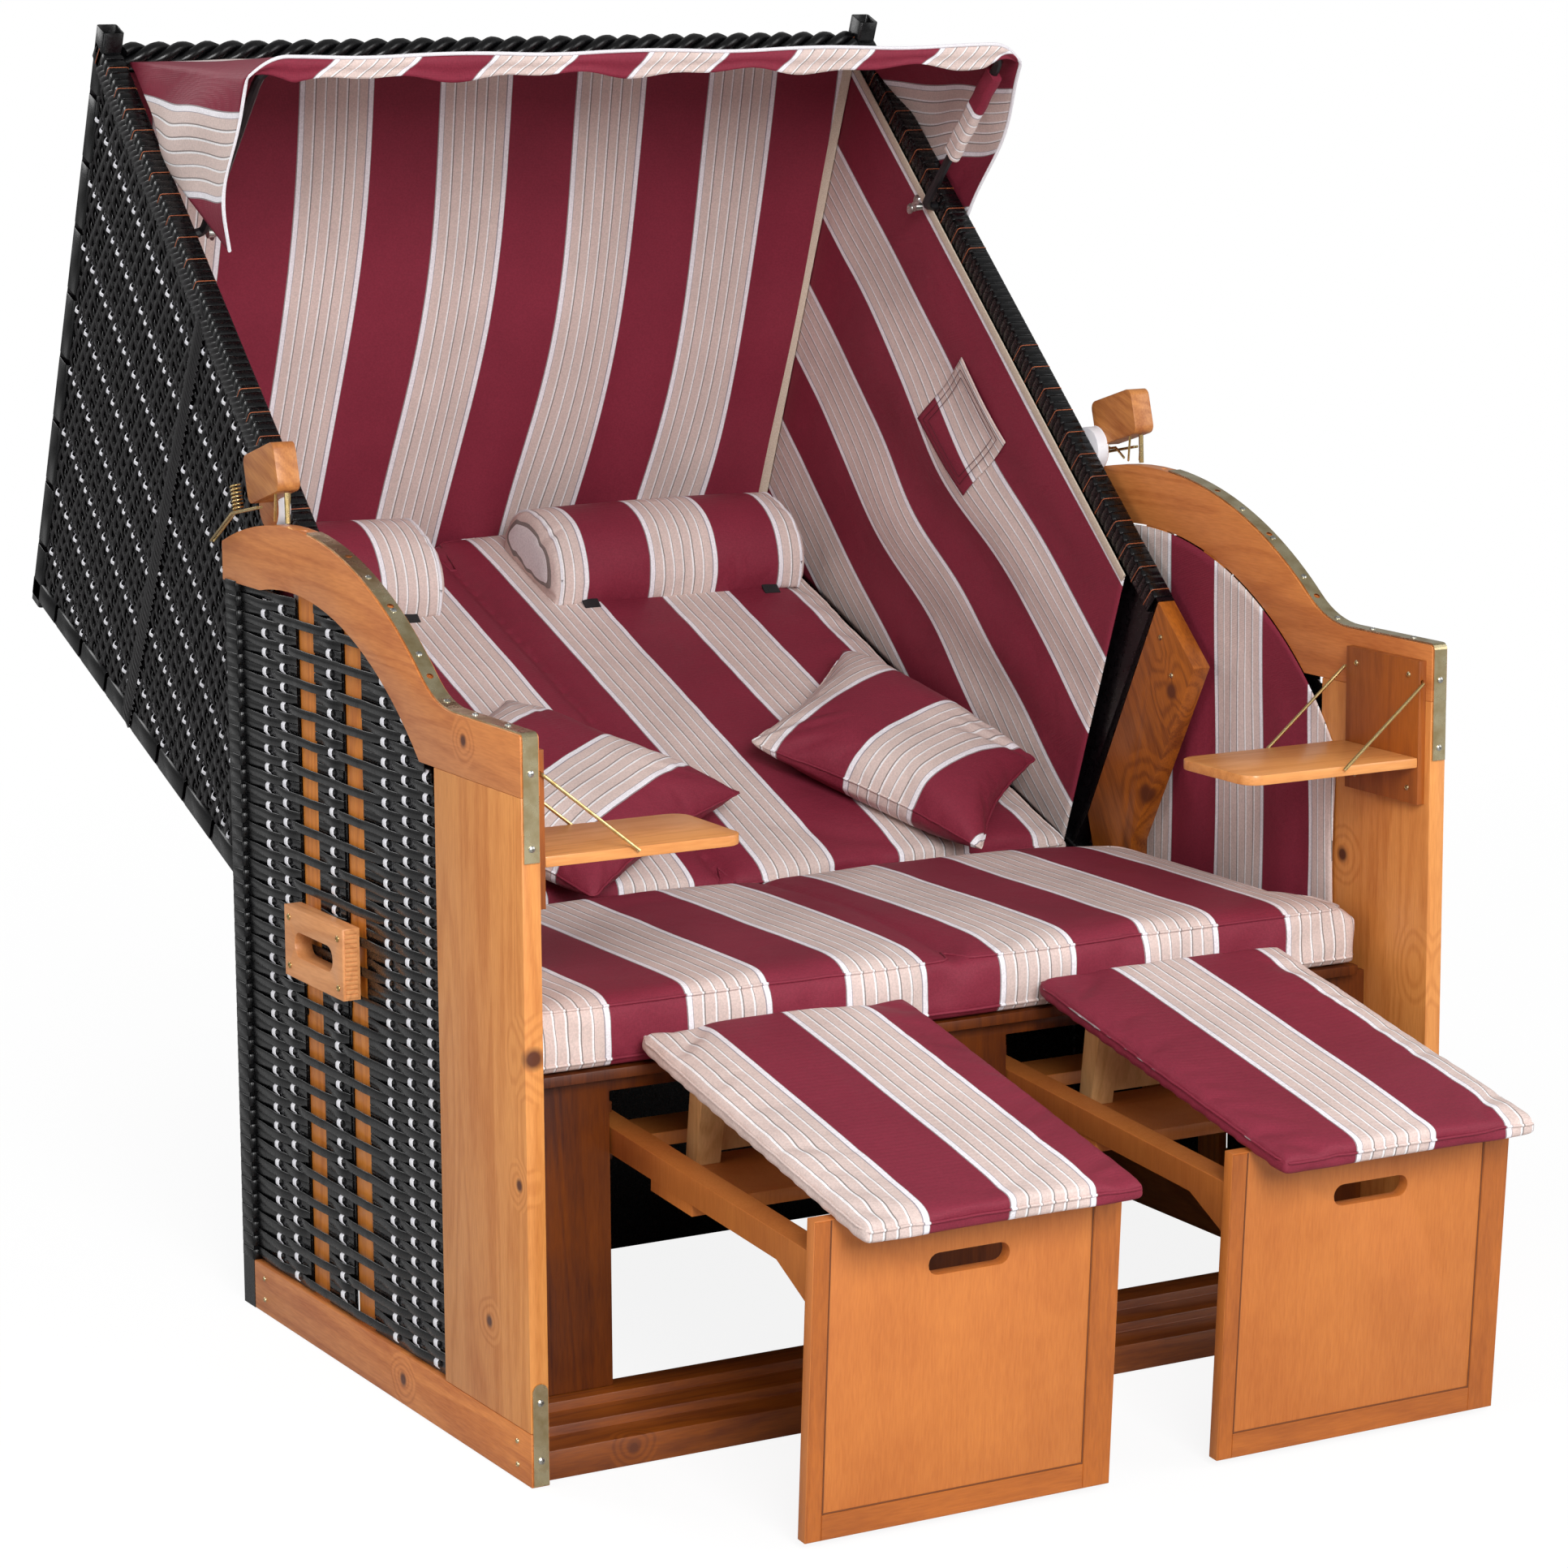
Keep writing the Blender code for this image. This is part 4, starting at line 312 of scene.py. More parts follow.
def striped_canvas(name, centre, axis="x", uv=False, period=STRIPE_PERIOD):
    """Satin canvas: soft gloss on the maroon, fine cross-wise weave. A maroon band is centred there."""
    material, tree, shader = new_finish(name)
    place = add(tree, "ShaderNodeTexCoord").outputs["Object"]
    if uv:
        cloth = add(tree, "ShaderNodeUVMap", uv_map="cloth").outputs[0]
        across = add(tree, "ShaderNodeSeparateXYZ", {0: cloth}).outputs[0]
    elif isinstance(axis, Vector):
        across = add(tree, "ShaderNodeVectorMath", {0: place, 1: tuple(axis)},
                     operation="DOT_PRODUCT").outputs["Value"]
    else:
        across = add(tree, "ShaderNodeSeparateXYZ", {0: place}).outputs["xyz".index(axis)]
    band = period - MAROON_STRIPE
    start = centre + MAROON_STRIPE / 2
    step = add(tree, "ShaderNodeMath", {0: across, 1: start}, operation="SUBTRACT").outputs[0]
    step = add(tree, "ShaderNodeMath", {0: step, 1: period}, operation="DIVIDE").outputs[0]
    step = add(tree, "ShaderNodeMath", {0: step}, operation="FRACT").outputs[0]
    ramp = add(tree, "ShaderNodeValToRGB", {0: step})
    ramp.color_ramp.interpolation = "CONSTANT"
    reach = sum(width for width, _ in stripe_steps())
    at = 0.0
    points = []
    for width, colour in stripe_steps():
        points.append((at * band / reach / period, colour))
        at += width
    points.append((band / period, "#852C3E"))
    while len(ramp.color_ramp.elements) < len(points):
        ramp.color_ramp.elements.new(0.5)
    for element, (position, colour) in zip(ramp.color_ramp.elements, points):
        element.position = position
        element.color = linear(colour)
    # A fine speckle about 2 mm across lightens and darkens the colour by about a tenth: painted glints of the satin
    # weave.
    satin_glint = add(tree, "ShaderNodeTexNoise", {"Vector": place, "Scale": 420.0, "Detail": 2.0}).outputs[0]
    satin_glint = add(tree, "ShaderNodeMapRange", {0: satin_glint, 1: 0.3, 2: 0.75, 3: 0.88, 4: 1.10}).outputs[0]
    slow = add(tree, "ShaderNodeTexNoise", {"Vector": place, "Scale": 9.0, "Detail": 2.0}).outputs[0]
    slow = add(tree, "ShaderNodeMapRange", {0: slow, 1: 0.3, 2: 0.7, 3: 0.93, 4: 1.05}).outputs[0]
    shade = add(tree, "ShaderNodeMath", {0: satin_glint, 1: slow}, operation="MULTIPLY").outputs[0]
    colour = add(tree, "ShaderNodeVectorMath", {0: ramp.outputs[0], "Scale": shade}, operation="SCALE").outputs[0]
    tree.links.new(colour, shader.inputs["Base Color"])
    # threads really lie 0.4 mm apart; they are drawn at 1.6 mm so that the weave shows
    threads = []
    for direction in ("X", "Z"):
        wave = add(tree, "ShaderNodeTexWave", {"Vector": place, "Scale": 200.0}, bands_direction=direction)
        threads.append(wave.outputs["Fac"])
    weave = add(tree, "ShaderNodeMath", {0: threads[0], 1: threads[1]}, operation="MULTIPLY").outputs[0]
    crease = add(tree, "ShaderNodeTexNoise", {"Vector": place, "Scale": 16.0, "Detail": 3.0, "Distortion": 0.8})
    crease = add(tree, "ShaderNodeMath", {0: crease.outputs[0], 1: 9.0}, operation="MULTIPLY").outputs[0]
    height = add(tree, "ShaderNodeMath", {0: weave, 1: crease}, operation="ADD").outputs[0]
    rough_bump(tree, shader, height, 0.35, 0.0006)
    set_shader(shader, Roughness=0.55, IOR=1.46, Specular_IOR_Level=0.22)
    return material


canvas = {
    "seat": striped_canvas("canvas_seat", 0.0),
    "roof": striped_canvas("canvas_roof", 0.065, uv=True),
    "side": striped_canvas("canvas_side", 0.206, uv=True),
    "edge": striped_canvas("canvas_hood_side", 0.092, uv=True),
    "roll_l": striped_canvas("canvas_roll_left", -0.225),
    "roll_r": striped_canvas("canvas_roll_right", 0.178),
    "board_l": striped_canvas("canvas_board_left", -0.300),
    "board_r": striped_canvas("canvas_board_right", 0.333),
    "awning": striped_canvas("canvas_awning", 0.105, uv=True, period=0.210),
}
print("canvas pieces", len(canvas))

# %% [markdown]
# Plastic strand, wire, plated steel and trim are plain in colour, so what tells them
# apart is gloss: the strand is a glossy extruded ribbon with faint ridges, the steel is
# zinc that was passivated yellow and has gone blotchy, and the wire is brassed.

# %% Strand, metal and plastic
def plain_finish(name, colour, rough, metal=0.0, second=None, scale=60.0, bump=0.0, sheen=0.0,
                 mirror=0.5):
    """One colour with the slight change that handling gives it."""
    material, tree, shader = new_finish(name)
    place = add(tree, "ShaderNodeTexCoord").outputs["Object"]
    cloud = add(tree, "ShaderNodeTexNoise", {"Vector": place, "Scale": scale, "Detail": 4.0}).outputs[0]
    share = add(tree, "ShaderNodeMapRange", {0: cloud, 1: 0.38, 2: 0.66}).outputs[0]
    mixed = add(tree, "ShaderNodeMixRGB", {0: share, 1: linear(colour), 2: linear(second or colour)}).outputs[0]
    tree.links.new(mixed, shader.inputs["Base Color"])
    spread = add(tree, "ShaderNodeMapRange", {0: cloud, 1: 0.3, 2: 0.7, 3: rough * 0.8, 4: rough * 1.25}).outputs[0]
    tree.links.new(spread, shader.inputs["Roughness"])
    set_shader(shader, Metallic=metal, Sheen_Weight=sheen, Specular_IOR_Level=mirror)
    if bump:
        rough_bump(tree, shader, cloud, 0.3, bump)
    return material


black_strand = plain_finish("extruded_black_strand", "#060607", 0.27, second="#0B0B0D", scale=260.0, bump=0.0002,
                            mirror=0.36)
dark_strand = plain_finish("extruded_dark_strand", "#080608", 0.30, second="#110D10", scale=180.0, bump=0.0002,
                           mirror=0.36)
white_strand = plain_finish("extruded_white_strand", "#EFEEF2", 0.35, second="#E4E3EA")
yellow_zinc = plain_finish("yellow_zinc_steel", "#DCCFA8", 0.28, 1.0, second="#BBA77C", scale=45.0, bump=0.0002)
pale_zinc = plain_finish("clear_zinc_screw", "#C9C9C6", 0.3, 1.0, second="#A9A79E", scale=90.0)
brass_wire = plain_finish("brassed_wire", "#D9C08A", 0.28, 1.0, second="#BB9C62", scale=120.0)
white_abs = plain_finish("moulded_white_abs", "#EDEDF1", 0.32, second="#E6E6EC")
white_tape = plain_finish("woven_white_tape", "#EDEAEE", 0.7, second="#DAD6DC", scale=700.0, bump=0.0004, sheen=0.2)
beige_tape = plain_finish("woven_beige_tape", "#D6C6B4", 0.7, second="#C4B29E", scale=700.0, bump=0.0004)
black_webbing = plain_finish("woven_black_webbing", "#141315", 0.75, second="#232124", scale=600.0, bump=0.0004)
black_enamel = plain_finish("black_enamel_tube", "#121113", 0.35, second="#1D1B1E")
print("plain finishes", 11)

# %% [markdown]
# A carried-over board has knife-sharp edges. A real one is sanded: each edge is eased by
# a millimetre or two and catches a thin line of light. A copy of the board is merged,
# its flat faces are joined and a bevel rounds what is left.

# %% Eased boards
def link(piece):
    bpy.context.scene.collection.objects.link(piece)
    return piece


def built(name, bm, finish=None):
    """Turns a bmesh into an object with its finish."""
    mesh = bpy.data.meshes.new(name)
    bm.to_mesh(mesh)
    bm.free()
    if finish:
        mesh.materials.append(finish)
    return link(bpy.data.objects.new(name, mesh))


def settled(piece):
    """Turns a piece with modifiers into one plain mesh."""
    bpy.context.view_layer.update()
    graph = bpy.context.evaluated_depsgraph_get()
    mesh = bpy.data.meshes.new_from_object(piece.evaluated_get(graph))
    piece.modifiers.clear()
    piece.data = mesh
    return piece


def thickened(piece, thickness, offset=-1):
    """Gives a thin surface its thickness."""
    wall = piece.modifiers.new("Thick", "SOLIDIFY")
    wall.thickness = thickness
    wall.offset = offset
    return settled(piece)


def smooth_by(mesh, angle):
    """Shades a mesh smooth, but for edges sharper than the angle."""
    mesh.shade_smooth()
    bm = bmesh.new()
    bm.from_mesh(mesh)
    for edge in bm.edges:
        edge.smooth = len(edge.link_faces) == 2 and edge.calc_face_angle(0) < angle
    bm.to_mesh(mesh)
    bm.free()


def merged_copy(node, name):
    """A merged copy of a carried-over piece, with its flat faces joined."""
    bm = bmesh.new()
    bm.from_mesh(frame["nodes"][node].data)
    bmesh.ops.remove_doubles(bm, verts=bm.verts, dist=1e-5)
    bmesh.ops.dissolve_limit(bm, angle_limit=radians(0.8), verts=bm.verts, edges=bm.edges)
    return built(name, bm)


def eased(node, finish, width=0.0015):
    """A piece of the frame with its edges rounded, which stands for it."""
    piece = merged_copy(node, f"eased_{node}")
    bevel = piece.modifiers.new("Ease", "BEVEL")
    bevel.width = width
    bevel.segments = 2
    bevel.limit_method = "ANGLE"
    bevel.angle_limit = radians(35)
    settled(piece)
    smooth_by(piece.data, radians(25))
    piece.data.materials.clear()
    piece.data.materials.append(finish)
    dress(piece, node, node)
    return piece


def dress(piece, node, *nodes):
    """Rides a piece on a node's body, standing for the nodes named."""
    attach(piece, body_of(frame["nodes"][node])[0])
    if nodes:
        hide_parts(*nodes)


BOARDS = {
    "arm_board": ("arm", 0.0025), "front_post": ("post", 0.0015), "bottom_rail": ("rail", 0.0015),
    "slats": ("slat", 0.002), "carry_handle": ("handle", 0.003), "table_plate": ("plate", 0.0015),
    "table_leaf": ("leaf", 0.0015), "runner_frame": ("runner", 0.0015), "footrest_frame": ("drawer", 0.0015),
    "footrest_prop": ("pale", 0.002), "lock_grip": ("grip", 0.004), "lower_board": ("knee", 0.0015),
}
for kind, (finish, width) in BOARDS.items():
    for side, _ in SIDES:
        eased(f"{kind}_{side}", finishes[finish], width)
for side, _ in SIDES:
    grip = bpy.data.objects[f"eased_lock_grip_{side}"].data
    grip.materials.append(white_abs)
    for face in grip.polygons:
        face.material_index = 1 if abs(face.center.x) < HOOD_HALF + 0.0149 else 0
# The front rail, the seat's front frame and its deck take the darkened finishes, which are painted shade.
eased("front_rail", finishes["sill"])
eased("seat_front_frame", finishes["upright"])
eased("seat_deck", finishes["upright"], 0.0008)
print("eased boards", 2 * len(BOARDS) + 3)

# %% [markdown]
# Small rigid fittings keep the frame's own shape and only get their real finish.

# %% Fittings that stay
FITTINGS = {"arm_strap": yellow_zinc, "pivot_bolt": pale_zinc, "table_rods": brass_wire,
            "lock_pin": brass_wire, "hood_side": dark_strand, "back_post": black_strand}
for kind, finish in FITTINGS.items():
    for side, _ in SIDES:
        frame["nodes"][f"{kind}_{side}"].material_slots[0].material = finish
for node, finish in (("hood_roof", dark_strand), ("hood_back", dark_strand), ("back_panel", black_strand),
                     ("awning_bow", black_enamel), ("hood_top_rail", black_strand)):
    frame["nodes"][node].material_slots[0].material = finish
print("fittings", 2 * len(FITTINGS) + 5)

# %% [markdown]
# The sides, the hood and the back are woven from plastic strand. A strand is always the
# same thing: a line with a flat section that rises and dips where it crosses others. So
# the lines are laid out in plain code, each point with its share of the rise, and one
# Geometry Nodes tree gives all of them their section.

# %% Tree for strands
def new_tree(name, sizes):
    """A Geometry Nodes tree with a geometry in and out, and named inputs between."""
    tree = bpy.data.node_groups.new(name, "GeometryNodeTree")
    tree.interface.new_socket("Geometry", in_out="INPUT", socket_type="NodeSocketGeometry")
    for title, kind in sizes:
        tree.interface.new_socket(title, in_out="INPUT", socket_type=f"NodeSocket{kind}")
    tree.interface.new_socket("Geometry", in_out="OUTPUT", socket_type="NodeSocketGeometry")
    return tree, add(tree, "NodeGroupInput").outputs, add(tree, "NodeGroupOutput").inputs[0]


def close_tree(tree, geometry, sizes, out):
    """Ends a tree in smooth shading, realised instances and the finish."""
    smooth = add(tree, "GeometryNodeSetShadeSmooth", {0: geometry}).outputs[0]
    real = add(tree, "GeometryNodeRealizeInstances", {0: smooth}).outputs[0]
    finish = add(tree, "GeometryNodeSetMaterial", {"Geometry": real, "Material": sizes["Finish"]}).outputs[0]
    tree.links.new(finish, out)


def strand_tree():
    tree, sizes, out = new_tree("strands", [("Width", "Float"), ("Thickness", "Float"), ("Rise", "Float"),
                                            ("Outward", "Vector"), ("Corner", "Int"), ("Finish", "Material")])
    lift = add(tree, "GeometryNodeInputNamedAttribute", {"Name": "lift"}, data_type="FLOAT").outputs[0]
    lift = add(tree, "ShaderNodeMath", {0: lift, 1: sizes["Rise"]}, operation="MULTIPLY").outputs[0]
    offset = add(tree, "ShaderNodeVectorMath", {0: sizes["Outward"], "Scale": lift}, operation="SCALE").outputs[0]
    moved = add(tree, "GeometryNodeSetPosition", {"Geometry": sizes["Geometry"], "Offset": offset}).outputs[0]
    curve = add(tree, "GeometryNodeMeshToCurve", {0: moved}).outputs[0]
    wide = add(tree, "GeometryNodeInputNamedAttribute", {"Name": "wide"}, data_type="FLOAT").outputs[0]
    curve = add(tree, "GeometryNodeSetCurveRadius", {"Curve": curve, "Radius": wide}).outputs[0]
    curve = add(tree, "GeometryNodeSetCurveNormal", {"Curve": curve, "Normal": sizes["Outward"]},
                mode="FREE").outputs[0]
    ring = add(tree, "GeometryNodeCurvePrimitiveQuadrilateral", {"Width": sizes["Thickness"],
                                                                "Height": sizes["Width"]}).outputs[0]
    round_edge = add(tree, "ShaderNodeMath", {0: sizes["Thickness"], 1: 0.49}, operation="MULTIPLY").outputs[0]
    ring = add(tree, "GeometryNodeFilletCurve", {"Curve": ring, "Radius": round_edge, "Count": sizes["Corner"]},
               mode="POLY").outputs[0]
    mesh = add(tree, "GeometryNodeCurveToMesh", {"Curve": curve, "Profile Curve": ring, "Fill Caps": True}).outputs[0]
    close_tree(tree, mesh, sizes, out)
    return tree


def wrap_tree():
    tree, sizes, out = new_tree("wraps", [("Bar width", "Float"), ("Bar depth", "Float"), ("Strip width", "Float"),
                                          ("Thickness", "Float"), ("Pitch", "Float"), ("Outward", "Vector"),
                                          ("Finish", "Material")])
    curve = add(tree, "GeometryNodeMeshToCurve", {0: sizes["Geometry"]}).outputs[0]
    places = add(tree, "GeometryNodeResampleCurve", {"Curve": curve, "Length": sizes["Pitch"]}, mode="LENGTH")
    tangent = add(tree, "GeometryNodeInputTangent").outputs[0]
    turn = add(tree, "FunctionNodeAlignRotationToVector", {"Vector": tangent}, axis="Z").outputs[0]
    turn = add(tree, "FunctionNodeAlignRotationToVector", {"Rotation": turn, "Vector": sizes["Outward"]},
               axis="X", pivot_axis="Z").outputs[0]
    ring = add(tree, "GeometryNodeCurvePrimitiveQuadrilateral", {"Width": sizes["Bar depth"],
                                                                "Height": sizes["Bar width"]}).outputs[0]
    ring = add(tree, "GeometryNodeFilletCurve", {"Curve": ring, "Radius": 0.003, "Count": 2}, mode="POLY").outputs[0]
    ring = add(tree, "GeometryNodeSetCurveNormal", {"Curve": ring, "Normal": (0.0, 0.0, 1.0)}, mode="FREE").outputs[0]
    strip = add(tree, "GeometryNodeCurvePrimitiveQuadrilateral", {"Width": sizes["Strip width"],
                                                                 "Height": sizes["Thickness"]}).outputs[0]
    strip = add(tree, "GeometryNodeFilletCurve", {"Curve": strip, "Radius": 0.0005, "Count": 1},
                mode="POLY").outputs[0]
    ring = add(tree, "GeometryNodeCurveToMesh", {"Curve": ring, "Profile Curve": strip}).outputs[0]
    rings = add(tree, "GeometryNodeInstanceOnPoints", {"Points": places.outputs[0], "Instance": ring,
                                                       "Rotation": turn}).outputs[0]
    close_tree(tree, rings, sizes, out)
    return tree


STRANDS = strand_tree()
WRAPS = wrap_tree()


def grown(name, lines, tree, sizes, node):
    """Puts lines through a tree and rides the plain mesh that comes out on a node's body."""
    mesh = bpy.data.meshes.new(name)
    verts, edges, lifts, wides = [], [], [], []
    for line in lines:
        edges += [(len(verts) + step, len(verts) + step + 1) for step in range(len(line) - 1)]
        for point in line:
            verts.append(point[0])
            lifts.append(point[1])
            wides.append(point[2])
    mesh.from_pydata(verts, edges, [])
    mesh.attributes.new("lift", "FLOAT", "POINT").data.foreach_set("value", lifts)
    mesh.attributes.new("wide", "FLOAT", "POINT").data.foreach_set("value", wides)
    piece = link(bpy.data.objects.new(name, mesh))
    modifier = piece.modifiers.new("Grow", "NODES")
    modifier.node_group = tree
    for item in tree.interface.items_tree:
        if item.in_out == "INPUT" and item.name in sizes:
            modifier[item.identifier] = sizes[item.name]
    settled(piece)
    for stray in [a.name for a in piece.data.attributes if a.name in ("lift", "wide")]:
        piece.data.attributes.remove(piece.data.attributes[stray])
    if node:
        dress(piece, node)
    print(name, len(piece.data.polygons), "faces")
    return piece


def strands(name, lines, width, thick, rise, outward, corner, finish, node):
    """Flat strands along lines; corner is how many cuts round each corner of the section."""
    return grown(name, lines, STRANDS, {"Width": width, "Thickness": thick, "Rise": rise, "Outward": tuple(outward),
                                        "Corner": corner, "Finish": finish}, node)


def wraps(name, lines, bar, strip, thick, pitch, side, finish, node):
    """Strip wound round a bar, whose width and depth come together."""
    return grown(name, lines, WRAPS, {"Bar width": bar[0], "Bar depth": bar[1], "Strip width": strip,
                                      "Thickness": thick, "Pitch": pitch, "Outward": (side, 0, 0),
                                      "Finish": finish}, node)


# %% [markdown]
# Each side of the seat is woven in rows 11.4 mm apart. Every row passes in front of and
# behind six thin white uprights in turn. Every third row bulges over the two slats and
# the rows between go behind them, which leaves the stained wood showing.

# %% Woven sides of the base
ROW = 0.0114
ROWS = 72
WEAVE_FOOT = 0.066
WHITE_UPRIGHTS = (0.245, 0.300, 0.354, 0.500, 0.635, 0.687)
SLAT_EDGES = ((0.421, 0.468), (0.550, 0.597))
FIELD_X = 0.5948


def row_front(up):
    """Where the woven field starts behind the front post or under the arch, measured from the front post's face."""
    if up <= ARCH_UP:
        return 0.215
    return max(0.215, ARCH_BACK - sqrt(max(0.494 ** 2 - (up - ARCH_UP) ** 2, 0)))


def row_lines(side, row):
    """One row of strand: up to three stretches, with the slats between where it goes behind them."""
    up = WEAVE_FOOT + ROW * (row + 0.5)
    front, back = row_front(up) - 0.001, 0.7605
    bulges = row % 3 == 0
    stations = [(front - 0.03, 0.0)]
    for index, place in enumerate(WHITE_UPRIGHTS):
        stations.append((place, 1.0 if (row + index) % 2 else -0.9))
    for low, high in SLAT_EDGES:
        stations += [(low - 0.004, 0.9 if bulges else -1.0), (high + 0.004, 0.9 if bulges else -1.0)]
    stations.append((0.79, -0.6))
    stations.sort()
    stretches, line = [], []
    steps = int((back - front) / 0.0055)
    for step in range(steps + 1):
        place = front + (back - front) * step / steps
        behind = [1 for low, high in SLAT_EDGES if low < place < high]
        if behind and not bulges:
            if len(line) > 1:
                stretches.append(line)
            line = []
            continue
        low = max(s for s in stations if s[0] <= place)
        high = min(s for s in stations if s[0] > place)
        share = (place - low[0]) / (high[0] - low[0])
        lift = low[1] + (high[1] - low[1]) * (1 - cos(pi * share)) / 2
        wide = 1.0
        if behind:
            lift, wide = 1.15, 1.62
        sway = noise.noise(Vector((place * 25, row * 3.1, side))) * 0.0009
        line.append(((side * FIELD_X, place - REAR, up + sway), lift, wide))
    if len(line) > 1:
        stretches.append(line)
    return stretches


def upright_lines(side):
    """The white uprights, on top wherever a row passes behind them."""
    lines = []
    for index, place in enumerate(WHITE_UPRIGHTS):
        line = []
        for step in range(4 * ROWS):
            up = WEAVE_FOOT + ROW * step / 4
            if up > 0.876 or row_front(up) > place:
                break
            swing = cos(pi * (step / 4 - 0.5 + index))
            lift = abs(swing) ** 0.25 if swing > 0 else -0.55 * abs(swing) ** 0.25
            line.append(((side * FIELD_X, place - REAR, up), lift, 1.0))
        lines.append(line)
    return lines


def painted_shade_sheet(label, side):
    """A thin black sheet between the slats, behind the rows: painted shade, so that the gaps in the weave show dark.
    """
    bm = bmesh.new()
    edges = [0.213, 0.4205, 0.4685, 0.5495, 0.5975, 0.762]
    for low, high in zip(edges[::2], edges[1::2]):
        steps = 12
        columns = []
        for step in range(steps + 1):
            place = low + (high - low) * step / steps
            top = ARCH_UP + sqrt(max(0.496 ** 2 - (ARCH_BACK - place) ** 2, 0))
            columns.append([bm.verts.new((side * 0.5912, place - REAR, up)) for up in (0.061, min(top, 0.885))])
        for a, b in zip(columns, columns[1:]):
            bm.faces.new((a[0], b[0], b[1], a[1]))
    return built(f"weave_painted_shade_{label}", bm, black_strand)


for label, side in SIDES:
    rows = [line for row in range(ROWS) for line in row_lines(side, row) if WEAVE_FOOT + ROW * (row + 0.5) < 0.884]
    node = f"weave_panel_{label}"
    out = (side, 0, 0)
    panel = strands(f"woven_rows_{label}", rows, 0.0110, 0.0013, 0.0021, out, 1, black_strand, node)
    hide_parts(node)
    strands(f"white_uprights_{label}", upright_lines(side), 0.0092, 0.0012, 0.0026, out, 2, white_strand, node)
    # The black sheet behind the rows is painted shade for the gaps in the weave.
    dress(thickened(painted_shade_sheet(label, side), 0.0006), node)
    post = [[((side * FRAME_X, 0.698, up), 0, 1) for up in (WEAVE_FOOT, 0.882)]]
    wraps(f"post_wraps_{label}", post, (0.0345, 0.0230), 0.0125, 0.0014, 0.0172, side, black_strand,
          f"back_post_{label}")

# %% [markdown]
# The hood's sides, roof and back are woven between wrapped bars. Dark strands run from
# the back bar to the front one, a little crooked, and cross strands run along the front
# edge: three dark ones, then a white one that shows as a row of dashes.

# %% Woven fields of the hood
def crossings(outline, start, direction):
    """Where a line goes into and out of an outline, as distances along it."""
    hits = []
    for a, b in zip(outline, outline[1:] + outline[:1]):
        edge, gap = Vector(b) - Vector(a), Vector(a) - start
        across = direction.x * edge.y - direction.y * edge.x
        if abs(across) < 1e-9:
            continue
        if 0 <= (gap.x * direction.y - gap.y * direction.x) / across < 1:
            hits.append((gap.x * edge.y - gap.y * edge.x) / across)
    hits.sort()
    return list(zip(hits[::2], hits[1::2]))


def woven_field(outline, warp, weft, slope, place):
    """Warps along the second direction and wefts at a slope across them, with their lifts."""
    low = min(point[0] for point in outline)
    warps, wefts, whites = [], [], []
    count = int((max(point[0] for point in outline) - low) / warp)
    for index in range(count + 1):
        along = low + warp * (index + 0.5)
        for start, end in crossings(outline, Vector((along, 0)), Vector((0, 1))):
            steps = max(int((end - start) / (weft / 3)), 2)
            line = []
            for step in range(steps + 1):
                up = start + (end - start) * step / steps
                level = (up - slope * (along - low)) / weft
                sway = 0.0034 * sin(pi * level / 2 + index * 1.7)
                sway += 0.0012 * noise.noise(Vector((along * 40, up * 12, 0)))
                wide = 1 + 0.25 * noise.noise(Vector((index * 7.3, up * 9, 5)))
                line.append((place(along + sway, up), 0.8 * cos(pi * (level + index)), wide))
            warps.append(line)
    angle = atan2(slope, 1)
    direction = Vector((cos(angle), sin(angle)))
    for index in range(-40, 60):
        base = Vector((low, weft * index))
        for start, end in crossings(outline, base, direction):
            steps = max(int((end - start) * direction.x / (warp / 3)), 2)
            line = []
            for step in range(steps + 1):
                spot = base + direction * (start + (end - start) * step / steps)
                column = (spot.x - low) / warp - 0.5
                line.append((place(spot.x, spot.y), -cos(pi * (index + column)), 1.0))
            (whites if index % 4 == 1 else wefts).append(line)
    return warps, wefts, whites


def weave_field(name, outline, warp, weft, slope, place, outward, node):
    """The three sets of strands of one field, as three pieces."""
    warps, wefts, whites = woven_field(outline, warp, weft, slope, place)
    for kind, lines, width, thick, rise, finish in (
            ("warps", warps, warp * 1.04, 0.0013, 0.0024, dark_strand),
            ("wefts", wefts, 0.0056, 0.0012, 0.0014, black_strand),
            ("whites", whites, 0.0056, 0.0016, 0.0034, white_strand)):
        strands(f"{name}_{kind}", lines, width, thick, rise, outward, 2 if kind == "whites" else 1, finish, node)


FRONT_FIELD = [(0.150, 0.028), (0.672, 0.028), (0.589, 0.597), (0.094, 0.400)]
REAR_FIELD = [(0.702, 0.028), (1.012, 0.028), (0.998, 0.760), (0.617, 0.608)]
for label, side in SIDES:
    for part, outline in (("front", FRONT_FIELD), ("rear", REAR_FIELD)):
        weave_field(f"hood_{part}_{label}", outline, 0.0094, 0.022, EDGE_SLOPE,
                    lambda along, up: hooded(side * 0.5568, along, up), (side, 0, 0), f"hood_side_{label}")

UP_HOOD = Vector((0, -sin(RECLINE), cos(RECLINE)))
ALONG_HOOD = Vector((0, cos(RECLINE), sin(RECLINE)))
BACK_FIELD = [(-0.506, 0.165), (0.506, 0.165), (0.506, 1.000), (-0.506, 1.000)]
ROOF_FIELD = [(-0.506, 0.040), (0.506, 0.040), (0.506, 0.740), (-0.506, 0.740)]
weave_field("hood_back", BACK_FIELD, 0.0125, 0.030, 0.0, lambda across, along: hooded(across, along, 0.0036),
            tuple(-UP_HOOD), "hood_back")
weave_field("hood_roof", ROOF_FIELD, 0.0125, 0.030, 0.0,
            lambda across, up: hooded(across, roof_along(up, 0.0036), up), tuple(ALONG_HOOD), "hood_roof")

# %% [markdown]
# The bars between the fields are bound with flat strip, laid edge to edge. The front bar
# and the mid stile also carry a row of slanting wraps on their outer face.

